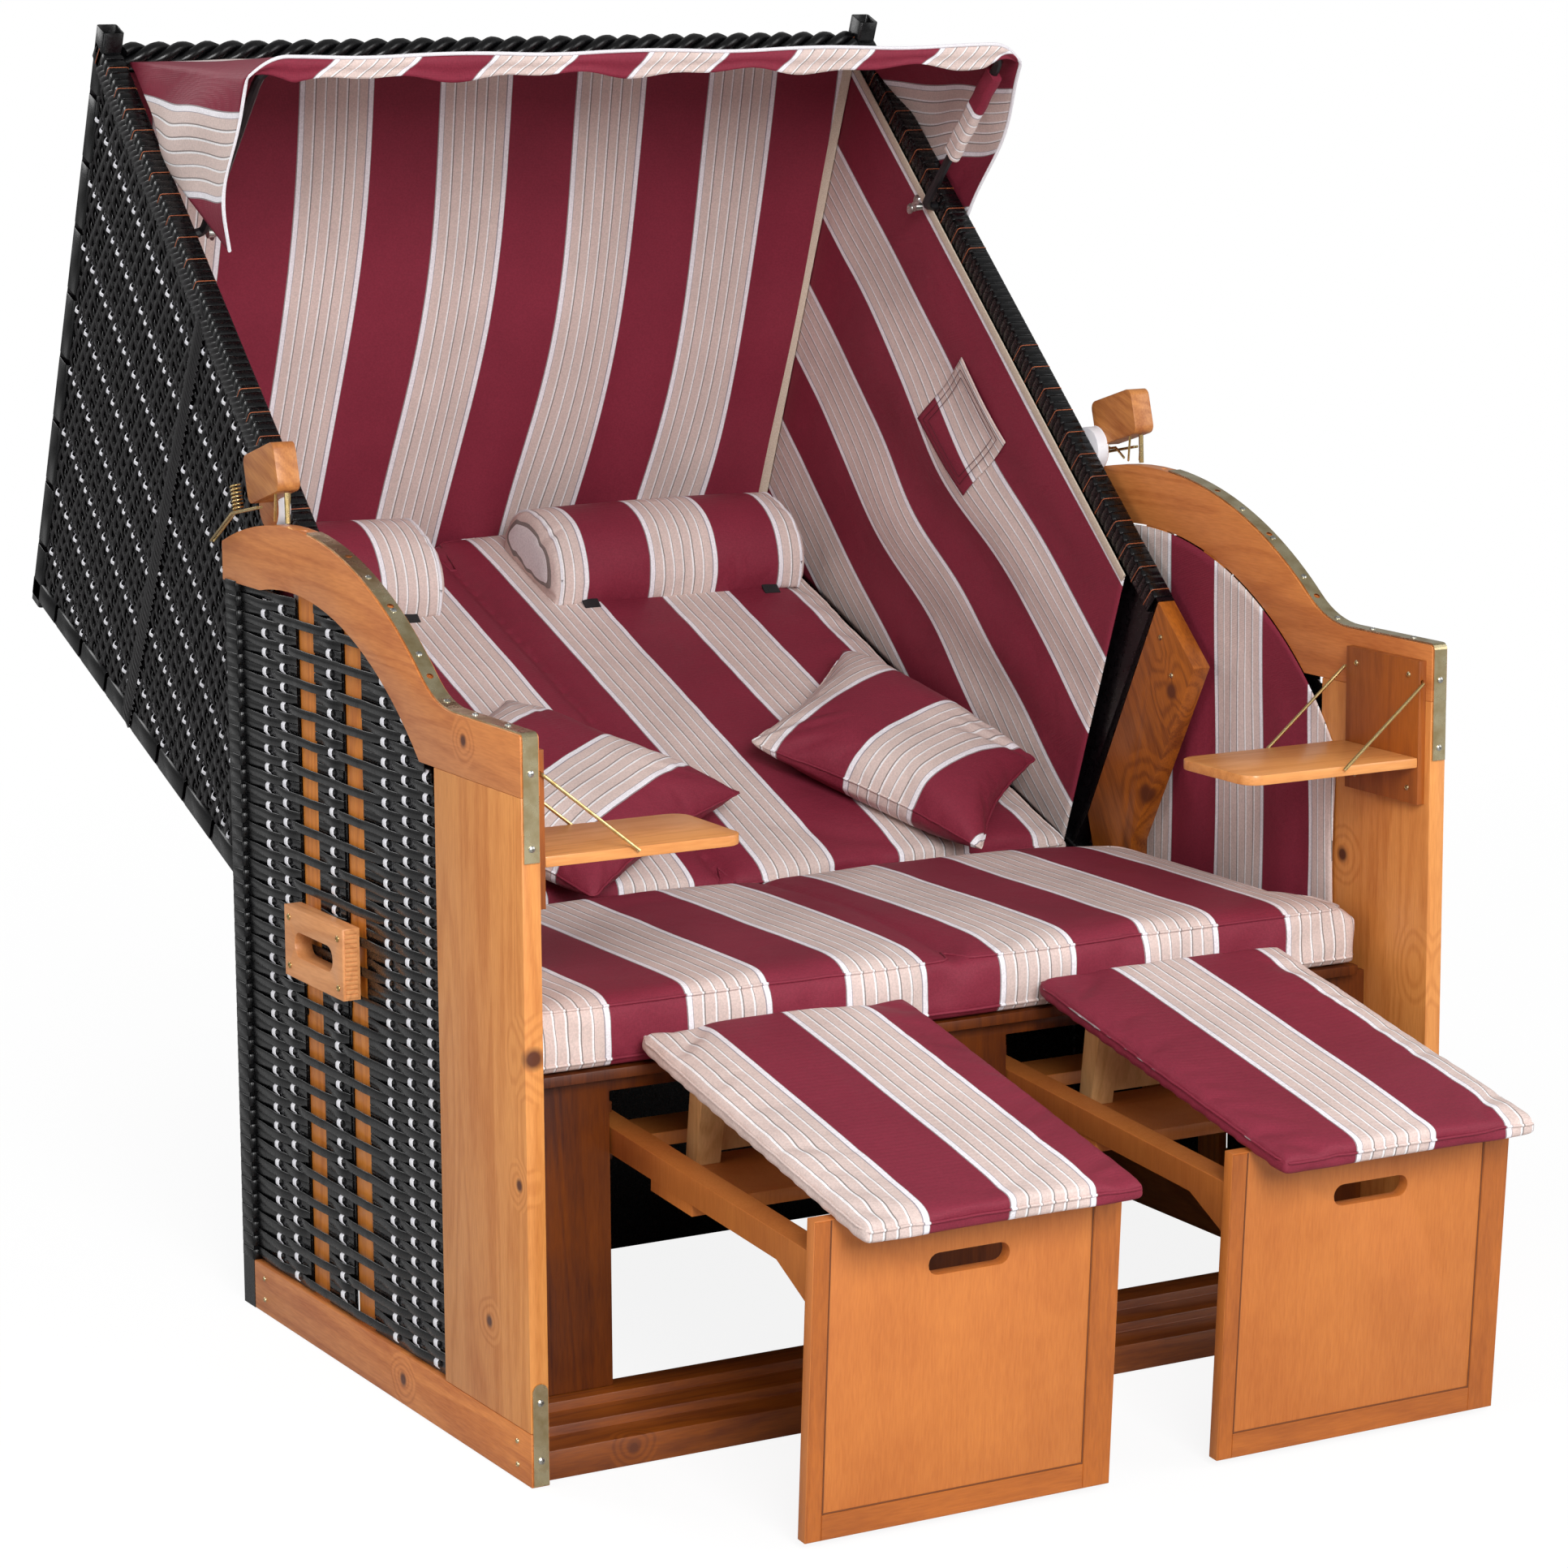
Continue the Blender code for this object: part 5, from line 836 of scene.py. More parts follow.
# %% Bound bars
EDGE_LENGTH = hypot(APEX[0] - TIP[0], APEX[1] - TIP[1])
EDGE_DIRECTION = Vector((APEX[0] - TIP[0], APEX[1] - TIP[1])) / EDGE_LENGTH
INTO_HOOD = Vector((EDGE_DIRECTION.y, -EDGE_DIRECTION.x))
BAR_MIDDLE = 0.0135


def bar_lines(side, points):
    """One line down the middle of a bar of the hood's side."""
    return [[(hooded(side * 0.5475, *point), 0, 1) for point in points]]


def slanting(side, start, end, low, high, pitch, lean):
    """Short slanting strands over one face of a bar, from one of its edges to the other."""
    start, end = Vector(start), Vector(end)
    direction = (end - start).normalized()
    square = Vector((direction.y, -direction.x))
    lines = []
    for index in range(int((end - start).length / pitch)):
        base = start + direction * pitch * (index + 0.5)
        line = []
        for step in range(6):
            share = step / 5
            spot = base + square * (low + (high - low) * share) + direction * lean * (share - 0.5)
            line.append((hooded(side * 0.5600, spot.x, spot.y), sin(pi * share) - 0.6, 0.7 + 0.45 * sin(pi * share)))
        lines.append(line)
    return lines


STILE_FOOT, STILE_HEAD = (0.690, 0.006), (0.600, edge_up(0.600) - 0.006)
for label, side in SIDES:
    node = f"hood_side_{label}"
    bar = (0.0290, 0.0262)
    middle = INTO_HOOD * BAR_MIDDLE
    front = [Vector(TIP) + EDGE_DIRECTION * 0.122 + middle, Vector(APEX) + middle - EDGE_DIRECTION * 0.012]
    wraps(f"front_bar_wraps_{label}", bar_lines(side, front), bar, 0.0112, 0.0012, 0.0118, side, black_strand, node)
    long_bars = bar_lines(side, [(roof_along(up, BAR_MIDDLE), up) for up in (0.775, 0.035)])
    long_bars += bar_lines(side, [(1.000, BAR_MIDDLE), (0.150, BAR_MIDDLE)])
    wraps(f"long_bar_wraps_{label}", long_bars, bar, 0.0845, 0.0012, 0.0860, side, black_strand, node)
    edge_start = Vector(TIP) + EDGE_DIRECTION * 0.125
    slants = slanting(side, edge_start, Vector(APEX) - EDGE_DIRECTION * 0.03, 0.008, 0.036, 0.0088, 0.020)
    slants += slanting(side, STILE_FOOT, STILE_HEAD, -0.014, 0.014, 0.0088, 0.020)
    strands(f"slanting_wraps_{label}", slants, 0.0086, 0.0030, 0.0022, (side, 0, 0), 2, dark_strand, node)

# %% [markdown]
# The hood's top rail is bound in three thick strands twisted round each other, with a
# lobe every 33 mm: one spiral and two turned copies of it, a third of a turn apart.

# %% Twisted top rail
def twist_tree():
    tree, sizes, out = new_tree("twist", [("Length", "Float"), ("Turns", "Float"), ("Radius", "Float"),
                                          ("Strand", "Float"), ("Finish", "Material")])
    line = add(tree, "GeometryNodeCurveSpiral", {"Resolution": 14, "Rotations": sizes["Turns"],
                                                 "Start Radius": sizes["Radius"], "End Radius": sizes["Radius"],
                                                 "Height": sizes["Length"]}).outputs[0]
    ring = add(tree, "GeometryNodeCurvePrimitiveCircle", {"Resolution": 8, "Radius": sizes["Strand"]}).outputs[0]
    strand = add(tree, "GeometryNodeCurveToMesh",
                 {"Curve": line, "Profile Curve": ring, "Fill Caps": True}).outputs[0]
    both = add(tree, "GeometryNodeJoinGeometry")
    tree.links.new(strand, both.inputs[0])
    for share in (0.3333, 0.6667):
        twin = add(tree, "GeometryNodeTransform", {"Geometry": strand, "Rotation": (0, 0, 2 * pi * share)}).outputs[0]
        tree.links.new(twin, both.inputs[0])
    close_tree(tree, both.outputs[0], sizes, out)
    return tree


rail = grown("twisted_top_rail", [[((0, 0, 0), 0, 1), ((0, 0, 1), 0, 1)]], twist_tree(),
             {"Length": 1.064, "Turns": 10.6, "Radius": 0.0095, "Strand": 0.0078, "Finish": black_strand},
             "hood_top_rail")
rail.parent = None
low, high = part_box("hood_top_rail")
middle = [(a + b) / 2 for a, b in zip(low, high)]
rail.data.transform(Matrix.Translation((-0.532, middle[1], middle[2])) @ Matrix.Rotation(pi / 2, 4, "Y"))
dress(rail, "hood_top_rail", "hood_top_rail")
print("top rail at", [round(value, 3) for value in middle])

# %% [markdown]
# The seat, the backrest, the neck rolls, the leg rests and the scatter pillows are canvas
# covers over foam or fibre. Their swell is made as the real one is: a slightly smaller
# closed bag is blown up by a little pressure and held still where it rests on something.
# No point moves further than a set cap, and small creases are added as noise. The seams
# come after, as piping.

# %% Stuffed covers
def blown(piece, down, cap, pressure):
    """Cloth simulation of one cover, with its resting side held and its movement capped."""
    mesh = piece.data
    start = [vert.co.copy() for vert in mesh.vertices]
    held = piece.vertex_groups.new(name="held")
    for vert in mesh.vertices:
        if vert.normal.dot(down) > 0.55:
            held.add([vert.index], 1.0, "REPLACE")
    cloth = piece.modifiers.new("Swell", "CLOTH")
    cloth.settings.quality = 4
    cloth.settings.mass = 0.25
    cloth.settings.use_pressure = True
    cloth.settings.uniform_pressure_force = pressure
    cloth.settings.vertex_group_mass = "held"
    cloth.settings.effector_weights.gravity = 0
    cloth.settings.shrink_min = -0.015
    cloth.point_cache.frame_start = 1
    cloth.point_cache.frame_end = 20
    scene = bpy.context.scene
    for step in range(1, 21):
        scene.frame_set(step)
    graph = bpy.context.evaluated_depsgraph_get()
    shape = [vert.co.copy() for vert in piece.evaluated_get(graph).data.vertices]
    piece.modifiers.remove(cloth)
    piece.vertex_groups.clear()
    scene.frame_set(1)
    most = 0.0
    for vert, before, after in zip(mesh.vertices, start, shape):
        move = after - before
        most = max(most, move.length)
        if move.length > 1e-6:
            move *= cap * tanh(move.length / cap) / move.length
        vert.co = before + move
    return most


# The share of a cover's triangles that stays: its flat parts need few.
COVER_SHARE = 0.45


def stuffed(node, finish, voxel, cap, down, pressure=4.0, shrink=0.003, wrinkle=0.0):
    """A cover blown up from the space that the frame gives it."""
    piece = merged_copy(node, f"stuffed_{node}")
    mesh = piece.data
    down = Vector(down)
    inward = [(0.0 if vert.normal.dot(down) > 0.7 else -shrink) * vert.normal for vert in mesh.vertices]
    for vert, move in zip(mesh.vertices, inward):
        vert.co += move
    remesh = piece.modifiers.new("Even", "REMESH")
    remesh.mode = "VOXEL"
    remesh.voxel_size = voxel
    settled(piece)
    most = 0.0
    most = blown(piece, down, cap, pressure)
    if wrinkle:
        normals = [vert.normal.copy() for vert in piece.data.vertices]
        for vert, normal in zip(piece.data.vertices, normals):
            if normal.dot(down) < 0.5:
                pull = noise.noise(vert.co * 11 + Vector((3, 1, 7))) + 0.5 * noise.noise(vert.co * 27)
                vert.co += normal * wrinkle * pull
    smooth = piece.modifiers.new("Even", "SMOOTH")
    smooth.iterations = 3
    finer = piece.modifiers.new("Finer", "SUBSURF")
    finer.levels = finer.render_levels = 1
    thinner = piece.modifiers.new("Thinner", "DECIMATE")
    thinner.ratio = COVER_SHARE
    settled(piece)
    piece.data.shade_smooth()
    piece.data.materials.clear()
    piece.data.materials.append(finish)
    dress(piece, node, node)
    print(piece.name, len(piece.data.vertices), "points, swelled", round(most * 1000, 1), "mm")
    return piece


PILLOW_SIZE = 0.370
PILLOW_CORNERS = {"l": (-0.180, 0.238, ((0.14, 0.66), (0.69, -0.12), (-0.15, -0.66), (-0.62, 0.14))),
                  "r": (0.350, 0.262, ((0.13, 0.73), (0.45, -0.17), (-0.10, -0.71), (-0.59, 0.14)))}


def pillow_corners(label):
    """A pillow's top, right, bottom and left corners across and along the backrest."""
    across, along, shares = PILLOW_CORNERS[label]
    return [Vector((across + PILLOW_SIZE * a, along + PILLOW_SIZE * b)) for a, b in shares]


def pillow_canvas(label):
    """The pillow's own stripe: it runs between two opposite sides, turned as the pillow lies."""
    top, right, bottom, left = pillow_corners(label)
    run = ((top + left) - (right + bottom)) / 2
    middle = (top + right + bottom + left) / 4
    direction = (hooded(run.x, run.y, 0) - hooded(0, 0, 0)).normalized()
    centre = direction.dot(hooded(middle.x, middle.y, 0.110)) + STRIPE_PERIOD / 2 - 0.055
    return striped_canvas(f"canvas_pillow_{label}", centre, axis=direction)


DOWN = (0, 0, -1)
INTO_BACK = tuple(-UP_HOOD)
BOARD_LEAN = radians(11.5)
BOARD_DOWN = (0, sin(BOARD_LEAN), -cos(BOARD_LEAN))
stuffed("seat_cushion", canvas["seat"], 0.0090, 0.010, DOWN, pressure=0.5, wrinkle=0.0010)
stuffed("backrest", canvas["seat"], 0.0100, 0.009, INTO_BACK, pressure=0.4, wrinkle=0.0012)
for label, side in SIDES:
    stuffed(f"neck_roll_{label}", canvas[f"roll_{label}"], 0.0050, 0.008, INTO_BACK, shrink=0.002)
    stuffed(f"pillow_{label}", pillow_canvas(label), 0.0055, 0.012, INTO_BACK, shrink=0.002, wrinkle=0.0022)
    stuffed(f"footrest_board_{label}", canvas[f"board_{label}"], 0.0060, 0.004, BOARD_DOWN, pressure=0.5,
            shrink=0.0015)

# %% [markdown]
# The linings are single sheets of canvas that hang inside the hood and the sides, tacked
# along their edges and slack between. Each is one curved grid, with the stripe's distance
# kept in its own UV map in metres, so that the bands follow the cloth and not the room.

# %% Hanging cloth
def cloth_sheet(name, columns, rows, surface, finish, thick=0.0014):
    """A sheet from a function of two shares, which gives a place and the cloth's own metres there."""
    bm = bmesh.new()
    layer = bm.loops.layers.uv.new("cloth")
    grid, cut = [], {}
    for row in range(rows + 1):
        line = []
        for column in range(columns + 1):
            place, across, along = surface(column / columns, row / rows)
            vert = bm.verts.new(place)
            cut[vert] = (across, along)
            line.append(vert)
        grid.append(line)
    for low, high in zip(grid, grid[1:]):
        for column in range(columns):
            bm.faces.new((low[column], low[column + 1], high[column + 1], high[column]))
    for face in bm.faces:
        for loop in face.loops:
            loop[layer].uv = cut[loop.vert]
    bm.normal_update()
    area = sum(face.calc_area() for face in bm.faces)
    width = max(sum((a.co - b.co).length for a, b in zip(line, line[1:])) for line in grid)
    length = max(sum((a.co - b.co).length for a, b in zip(line, line[1:])) for line in zip(*grid))
    piece = thickened(built(name, bm, finish), thick, 0)
    piece.data.shade_smooth()
    print(name, "cut", round(width, 3), "by", round(length, 3), "m, area", round(area, 3))
    return piece, (width, length), area


def hang(piece, node, rides=True):
    """Rides a sheet on its node's body when rides is true."""
    if rides:
        dress(piece, node, node)


def roof_cloth(s, t):
    """The roof's lining: tight along the rail, slack and softly folded towards the backrest."""
    up = 0.0300 + (0.762 - 0.0300) * t
    across = (2 * s - 1) * 0.5300
    edge = min(s, 1 - s) * 2
    slack = sin(pi * t) * (0.35 + 0.65 * (1 - t))
    fold = 0.010 * slack * (1 - cos(2 * pi * 5 * s + 1.6 * sin(3 * t))) / 2
    fold += 0.004 * (1 - t) ** 2 * (1 + sin(2 * pi * 9 * s + 2 * t)) * min(edge * 6, 1)
    fold += 0.012 * slack * sin(pi * s)
    drift = 0.020 * sin(pi * t) + 0.007 * sin(6 * t + 7 * s) * (1 - t)
    return hooded(across, roof_along(up, 0.0245 + fold), up), across - drift, up


def hood_side_cloth(side, drift_phase):
    def point(s, t):
        """A hood side's lining: its bands run along the front edge and sway where it hangs slack."""
        low = 0.0250
        along = 0.134 + (roof_along(low, 0.027) - 0.134) * s
        up = low + (edge_up(along) - 0.0366 - low) * t
        along -= ROOF_LEAN * up * s
        slack = sin(pi * t) * sin(pi * min(s * 1.1, 1))
        fold = 0.0100 * slack * (1 - cos(2 * pi * 3.5 * t + 2.2 * s + drift_phase)) / 2
        fold += 0.0030 * (1 + sin(19 * s + 9 * t)) * slack
        away = (edge_up(along) - up) * cos(EDGE_ANGLE)
        drift = 0.016 * sin(7.5 * s + 5 * t + drift_phase) * slack
        return hooded(side * (HOOD_IN - 0.0018 - fold), along, up), away - drift, along
    return point


def side_cloth(side):
    def point(s, t):
        """The lining of a side of the seat, under the arch: bands upright."""
        back = 0.183 + (0.7585 - 0.183) * s
        arch = ARCH_UP + sqrt(max(0.494 ** 2 - (ARCH_BACK - back) ** 2, 0)) - 0.0015
        low = 0.430
        up = low + (max(arch, low + 0.01) - low) * t
        fold = 0.0020 * (1 + sin(2 * pi * 6 * s + 1.5 * t)) * sin(pi * min(t * 1.2, 1))
        return Vector((side * (0.5765 - fold), back - REAR, up)), back - REAR + 0.004 * sin(5 * t), up
    return point


piece, flat, area = cloth_sheet("canvas_roof_lining", 110, 60, roof_cloth, canvas["roof"])
hang(piece, "roof_lining")
for label, side in SIDES:
    piece, flat, area = cloth_sheet(f"canvas_hood_lining_{label}", 90, 80, hood_side_cloth(side, 0.6 + side * 0.5),
                                    canvas["edge"])
    hang(piece, f"hood_lining_{label}")
    piece, flat, area = cloth_sheet(f"canvas_side_lining_{label}", 72, 36, side_cloth(side), canvas["side"])
    hang(piece, f"side_lining_{label}")

# %% [markdown]
# The sun awning is one sheet too. It starts under the top rail, lies over the black bow
# with rounded shoulders, and hangs down at both ends as pointed flaps. It folds with the
# bow, so it bends between the hood and the bow. A hem hangs off its front edge, and white
# piping runs along that edge and down both flaps.

# %% Awning
AWNING_PIVOT = Vector((0.726, 0.6636))
RAIL_EDGE = Vector((0.985, 0.7825))
BOW_EDGE = AWNING_PIVOT + Vector((-0.113, 0.264))
BEND_START, BEND_END = tuple(hooded(0, *RAIL_EDGE)), tuple(hooded(0, *BOW_EDGE))
FLAP = 0.17


def over_bow(t):
    """The sheet's line from the rail to just above the bow, and the direction square to it."""
    square = Vector((BOW_EDGE.y - RAIL_EDGE.y, RAIL_EDGE.x - BOW_EDGE.x)).normalized()
    ahead = (BOW_EDGE - RAIL_EDGE).normalized() * 0.0115
    return RAIL_EDGE.lerp(BOW_EDGE + ahead + square * 0.0078, t)


def awning_top(middle, t):
    """The part between the flaps: a shallow sag, small folds, and shoulders that round down."""
    line = over_bow(t)
    across = (2 * middle - 1) * (0.5275 + 0.0105 * t)
    shoulder = max(abs(across) - 0.490, 0) / 0.048
    loose = sin(pi * t) ** 2 * sin(pi * middle)
    drop = 0.013 * loose + 0.0045 * sin(2 * pi * 7 * middle + 2 * t) * sin(pi * t) * min(sin(pi * middle) * 3, 1)
    drop += 0.026 * t * shoulder ** 2
    hem = 0.004 * sin(2 * pi * 4.3 * middle + 1) * max(t - 0.8, 0) * 5
    return Vector((across, line.x - abs(hem) * 0.2, line.y - drop + hem * 0.4 + 0.002 * t))


def flap_tip(sign, t):
    """Where the flap's lower edge hangs at that share of the way to the bow."""
    if sign < 0:
        return Vector((-0.535, 0.880 - 0.278 * t ** 1.15, 0.716 - 0.020 * t))
    return Vector((0.566, 0.880 - 0.182 * t ** 1.15, 0.690 - 0.036 * t))


def awning_cloth(s, t):
    sign = -1 if s < 0.5 else 1
    if FLAP <= s <= 1 - FLAP:
        place = awning_top((s - FLAP) / (1 - 2 * FLAP), t)
        return hooded(*place), place.x, t * (BOW_EDGE - RAIL_EDGE).length
    depth = 1 - min(s, 1 - s) / FLAP
    top = awning_top(0 if sign < 0 else 1, t)
    tip = flap_tip(sign, t)
    reach = depth * min(max(t / 0.30, 0.05), 1)
    place = top.lerp(tip, reach)
    swell = sin(pi * reach) * min(t * 2, 1)
    wave = 0.010 + 0.007 * sin(10 * t + 5 * reach + (2 if sign > 0 else 0))
    place += Vector((sign * wave * swell, 0.008 * sin(7 * t) * swell, 0.004 * swell * sin(12 * t)))
    return hooded(*place), sign * (0.530 + (tip - top).length * reach), t * (BOW_EDGE - RAIL_EDGE).length


def bend_with_bow(piece):
    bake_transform(piece, "hood", "awning", start=BEND_START, end=BEND_END)


def awning_hem(s, t):
    """The hem: a strip that turns over the front edge and hangs in slack waves."""
    top = awning_top(s, 1.0)
    place = hooded(*top)
    wave = sin(2 * pi * 4.3 * s + 1) + 0.5 * sin(2 * pi * 9.1 * s)
    depth = (0.027 + 0.005 * wave) * min(sin(pi * s) * 6, 1)
    forward = 0.004 * sin(pi * min(t * 1.6, 1)) - 0.003 * t * (1 + wave)
    return place + Vector((0, -forward, -depth * t)), top.x - 0.05 + 0.03 * t, t * 0.03


awning, flat, area = cloth_sheet("canvas_sun_awning", 220, 40, awning_cloth, canvas["awning"])
hem, _, _ = cloth_sheet("canvas_awning_hem", 160, 8, awning_hem, canvas["awning"], thick=0.0012)
bend_with_bow(hem)
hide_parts("awning_cloth")
bend_with_bow(awning)


# %% [markdown]
# Piping, tape and straps are long thin things that follow an edge, so the strand tree
# makes them too: a line of places, a width and a thickness.

# %% Trim
def trim(name, lines, width, thick, finish, node, outward=(0, 0, 1), bend=False):
    """Trim of one width along lines of places."""
    lines = [[(place, 0, 1) for place in line] for line in lines]
    piece = strands(name, lines, width, thick, 0.0, outward, 3, finish, None if bend else node)
    if bend:
        bend_with_bow(piece)


front_edge = [awning_cloth(step / 240, 1.0)[0] + Vector((0, -0.002, 0.0005)) for step in range(241)]
trim("awning_piping", [front_edge], 0.0046, 0.0046, white_tape, None, bend=True)
for label, side in SIDES:
    corner = [hooded(side * 0.5270, roof_along(up, 0.0290), up)
              for up in [0.07 + 0.0345 * step for step in range(21)]]
    trim(f"corner_tape_{label}", [corner], 0.0130, 0.0026, beige_tape, f"hood_lining_{label}",
         outward=hooded(-side * 0.7, -0.7, 0) - hooded(0, 0, 0))
    face = hood_side_cloth(side, 0.6 + side * 0.5)
    edge = [face(step / 60, 1.0)[0] + Vector((-side * 0.0015, 0, 0)) for step in range(61)]
    trim(f"lining_binding_{label}", [edge], 0.0120, 0.0024, beige_tape, f"hood_lining_{label}", outward=(side, 0, 0))

# %% [markdown]
# Seams. On the real covers two panels meet in a corded seam, which is what gives a
# cushion its drawn edge. The cord follows the blown cover: rays are sent inwards from
# all round, in one plane, and the cord is laid where they meet the cover.

# %% Seam cords
SEAM_OUT = 0.0012


def cover_tree(piece):
    return BVHTree.FromPolygons([vert.co for vert in piece.data.vertices],
                                [face.vertices for face in piece.data.polygons])


def ring_on(piece, centre, right, ahead, count, reach, out=SEAM_OUT):
    """The line where a plane through a cover meets its outside, as a closed line of places."""
    tree, centre = cover_tree(piece), Vector(centre)
    line = []
    for step in range(count + 1):
        angle = 2 * pi * step / count
        way = Vector(right) * cos(angle) + Vector(ahead) * sin(angle)
        spot, _, _, _ = tree.ray_cast(centre + way * reach, -way)
        if spot is not None:
            line.append(spot + way * out)
    return line


def middle_of(piece, shift=(0, 0, 0)):
    places = [vert.co for vert in piece.data.vertices]
    return Vector([(min(p[i] for p in places) + max(p[i] for p in places)) / 2 for i in range(3)]) + Vector(shift)


def square_ring(piece, centre, right, ahead, wide, deep, closed=True):
    """As ring_on, for a long cover: rays go straight in from the four sides, or from all but the rear."""
    tree, centre = cover_tree(piece), Vector(centre)
    right, ahead = Vector(right), Vector(ahead)
    line = []
    sides = [(-ahead, -right, deep, 60), (right, -ahead, wide, 120), (ahead, right, deep, 60),
             (-right, ahead, wide, 120)]
    for along, way, half, steps in sides if closed else sides[:3]:
        for step in range(steps):
            spot, _, _, _ = tree.ray_cast(centre + along * half * (2 * (step + 0.5) / steps - 1) + way * 1.4, -way)
            if spot is not None:
                line.append(spot + way * SEAM_OUT)
    return line + line[:1] if closed else line


ACROSS = Vector((1, 0, 0))
seat = bpy.data.objects["stuffed_seat_cushion"]
for place, up in (("upper", 0.026), ("lower", -0.032)):
    trim(f"seat_seam_{place}", [square_ring(seat, middle_of(seat, (0, 0, up)), ACROSS, (0, 1, 0), 0.545, 0.250,
                                              closed=False)],
         0.0036, 0.0036, canvas["seat"], "seat_cushion")
back = bpy.data.objects["stuffed_backrest"]
trim("backrest_seam", [square_ring(back, hooded(0, 0.540, 0.053), ACROSS, ALONG_HOOD, 0.495, 0.455)],
     0.0036, 0.0036, canvas["seat"], "backrest")
BOARD_ALONG = Vector((0, cos(BOARD_LEAN), sin(BOARD_LEAN)))
BOARD_UP = Vector((0, -sin(BOARD_LEAN), cos(BOARD_LEAN)))
for label, side in SIDES:
    board = bpy.data.objects[f"stuffed_footrest_board_{label}"]
    trim(f"board_seam_{label}", [square_ring(board, middle_of(board, BOARD_UP * 0.002), ACROSS, BOARD_ALONG,
                                             0.163, 0.235)],
         0.0030, 0.0030, canvas[f"board_{label}"], f"footrest_board_{label}")
    pillow = bpy.data.objects[f"stuffed_pillow_{label}"]
    trim(f"pillow_seam_{label}", [ring_on(pillow, middle_of(pillow), ACROSS, ALONG_HOOD, 300, 0.6)],
         0.0030, 0.0030, pillow.data.materials[0], f"pillow_{label}")

# %% [markdown]
# A neck roll is a half-round bolster with piped end caps. Two black straps come out from
# under it and hold it on the backrest.

# %% Neck roll trim
for label, side in SIDES:
    roll = bpy.data.objects[f"stuffed_neck_roll_{label}"]
    for end, across in (("inner", 0.0905), ("outer", 0.4635)):
        ring = ring_on(roll, hooded(side * across, 0.860, 0.103), ALONG_HOOD, UP_HOOD, 120, 0.4, 0.0006)
        trim(f"roll_piping_{end}_{label}", [ring], 0.0042, 0.0042, white_tape, f"neck_roll_{label}")
    straps = []
    for across in (0.135, 0.415):
        straps.append([hooded(side * across, 0.784 - 0.009 * step, 0.0800 - 0.0034 * step) for step in range(4)])
    trim(f"roll_straps_{label}", straps, 0.0240, 0.0024, black_webbing, f"neck_roll_{label}", outward=UP_HOOD)

# %% [markdown]
# Screws. Every plate and strap is held by zinc-plated wood screws with a domed head and a
# cross recess. One small head is turned from five rings, and rays find where it sits.

# %% Screws
def landed(node, start, way):
    """Where a straight line meets a piece of the frame, and which way its face looks."""
    spot, normal, _, _ = cover_tree(frame["nodes"][node]).ray_cast(Vector(start), Vector(way))
    return spot, normal


def screw_heads(name, node, heads, finish=pale_zinc, radius=0.0042):
    bm = bmesh.new()
    for place, outward in heads:
        if place is None:
            continue
        turn = Matrix.Translation(place) @ Vector(outward).to_track_quat("Z", "Y").to_matrix().to_4x4()
        rings = []
        for share, height, lobes in ((1.0, -0.0004, 0), (0.96, 0.0008, 0), (0.66, 0.0017, 0), (0.36, 0.0020, 0.42),
                                     (0.26, 0.0007, 0.42)):
            ring = []
            for step in range(16):
                angle = 2 * pi * step / 16
                away = radius * share * (1 + lobes * cos(4 * angle))
                ring.append(bm.verts.new(turn @ Vector((away * cos(angle), away * sin(angle), height))))
            rings.append(ring)
        for low, high in zip(rings, rings[1:]):
            for a, b in zip(range(16), [*range(1, 16), 0]):
                bm.faces.new((low[a], low[b], high[b], high[a]))
        bm.faces.new(rings[-1])
    piece = built(name, bm, finish)
    smooth_by(piece.data, radians(40))
    dress(piece, node)
    print(name, len(heads), "heads")


for label, side in SIDES:
    strap = f"arm_strap_{label}"
    heads = [landed(strap, (side * FRAME_X, back - REAR, 1.2), (0, 0, -1))
             for back in (0.40, 0.335, 0.27, 0.20, 0.13, 0.05)]
    heads += [landed(strap, (side * FRAME_X, -0.3, up), (0, 1, 0)) for up in (0.695, 0.775)]
    screw_heads(f"strap_screws_{label}", strap, heads, radius=0.0038)
    foot = [(Vector((side * FRAME_X, -REAR - 0.0021, up)), (0, -1, 0)) for up in (0.030, 0.094)]
    screw_heads(f"foot_screws_{label}", f"front_post_{label}", foot, radius=0.0040)
    handle = [landed(f"carry_handle_{label}", (side * 0.8, back - REAR, up), (-side, 0, 0))
              for back in (0.438, 0.577) for up in (0.463, 0.520)]
    screw_heads(f"handle_screws_{label}", f"carry_handle_{label}", handle, brass_wire, 0.0040)
    plate = [landed(f"table_plate_{label}", (0, back - REAR, up), (side, 0, 0))
             for back in (0.030, 0.132) for up in (0.645, 0.779)]
    screw_heads(f"plate_screws_{label}", f"table_plate_{label}", plate, yellow_zinc, 0.0036)
    knee = [landed(f"lower_board_{label}", (0, back, up), (side, 0, 0))
            for back, up in ((0.395, 0.720), (0.420, 0.765), (0.540, 0.400))]
    screw_heads(f"knee_screws_{label}", f"lower_board_{label}", knee, yellow_zinc, 0.0036)
    rail = [landed(f"bottom_rail_{label}", (side * 0.8, back, up), (-side, 0, 0))
            for back in (-0.045, 0.650) for up in (0.018, 0.044)]
    screw_heads(f"rail_screws_{label}", f"bottom_rail_{label}", rail, yellow_zinc, 0.0030)

# %% [markdown]
# A zinc corner strap closes the foot of each front post, and the handle's ends are ribbed
# so that a wet hand holds on: a router with a fluted bit leaves such ribs.

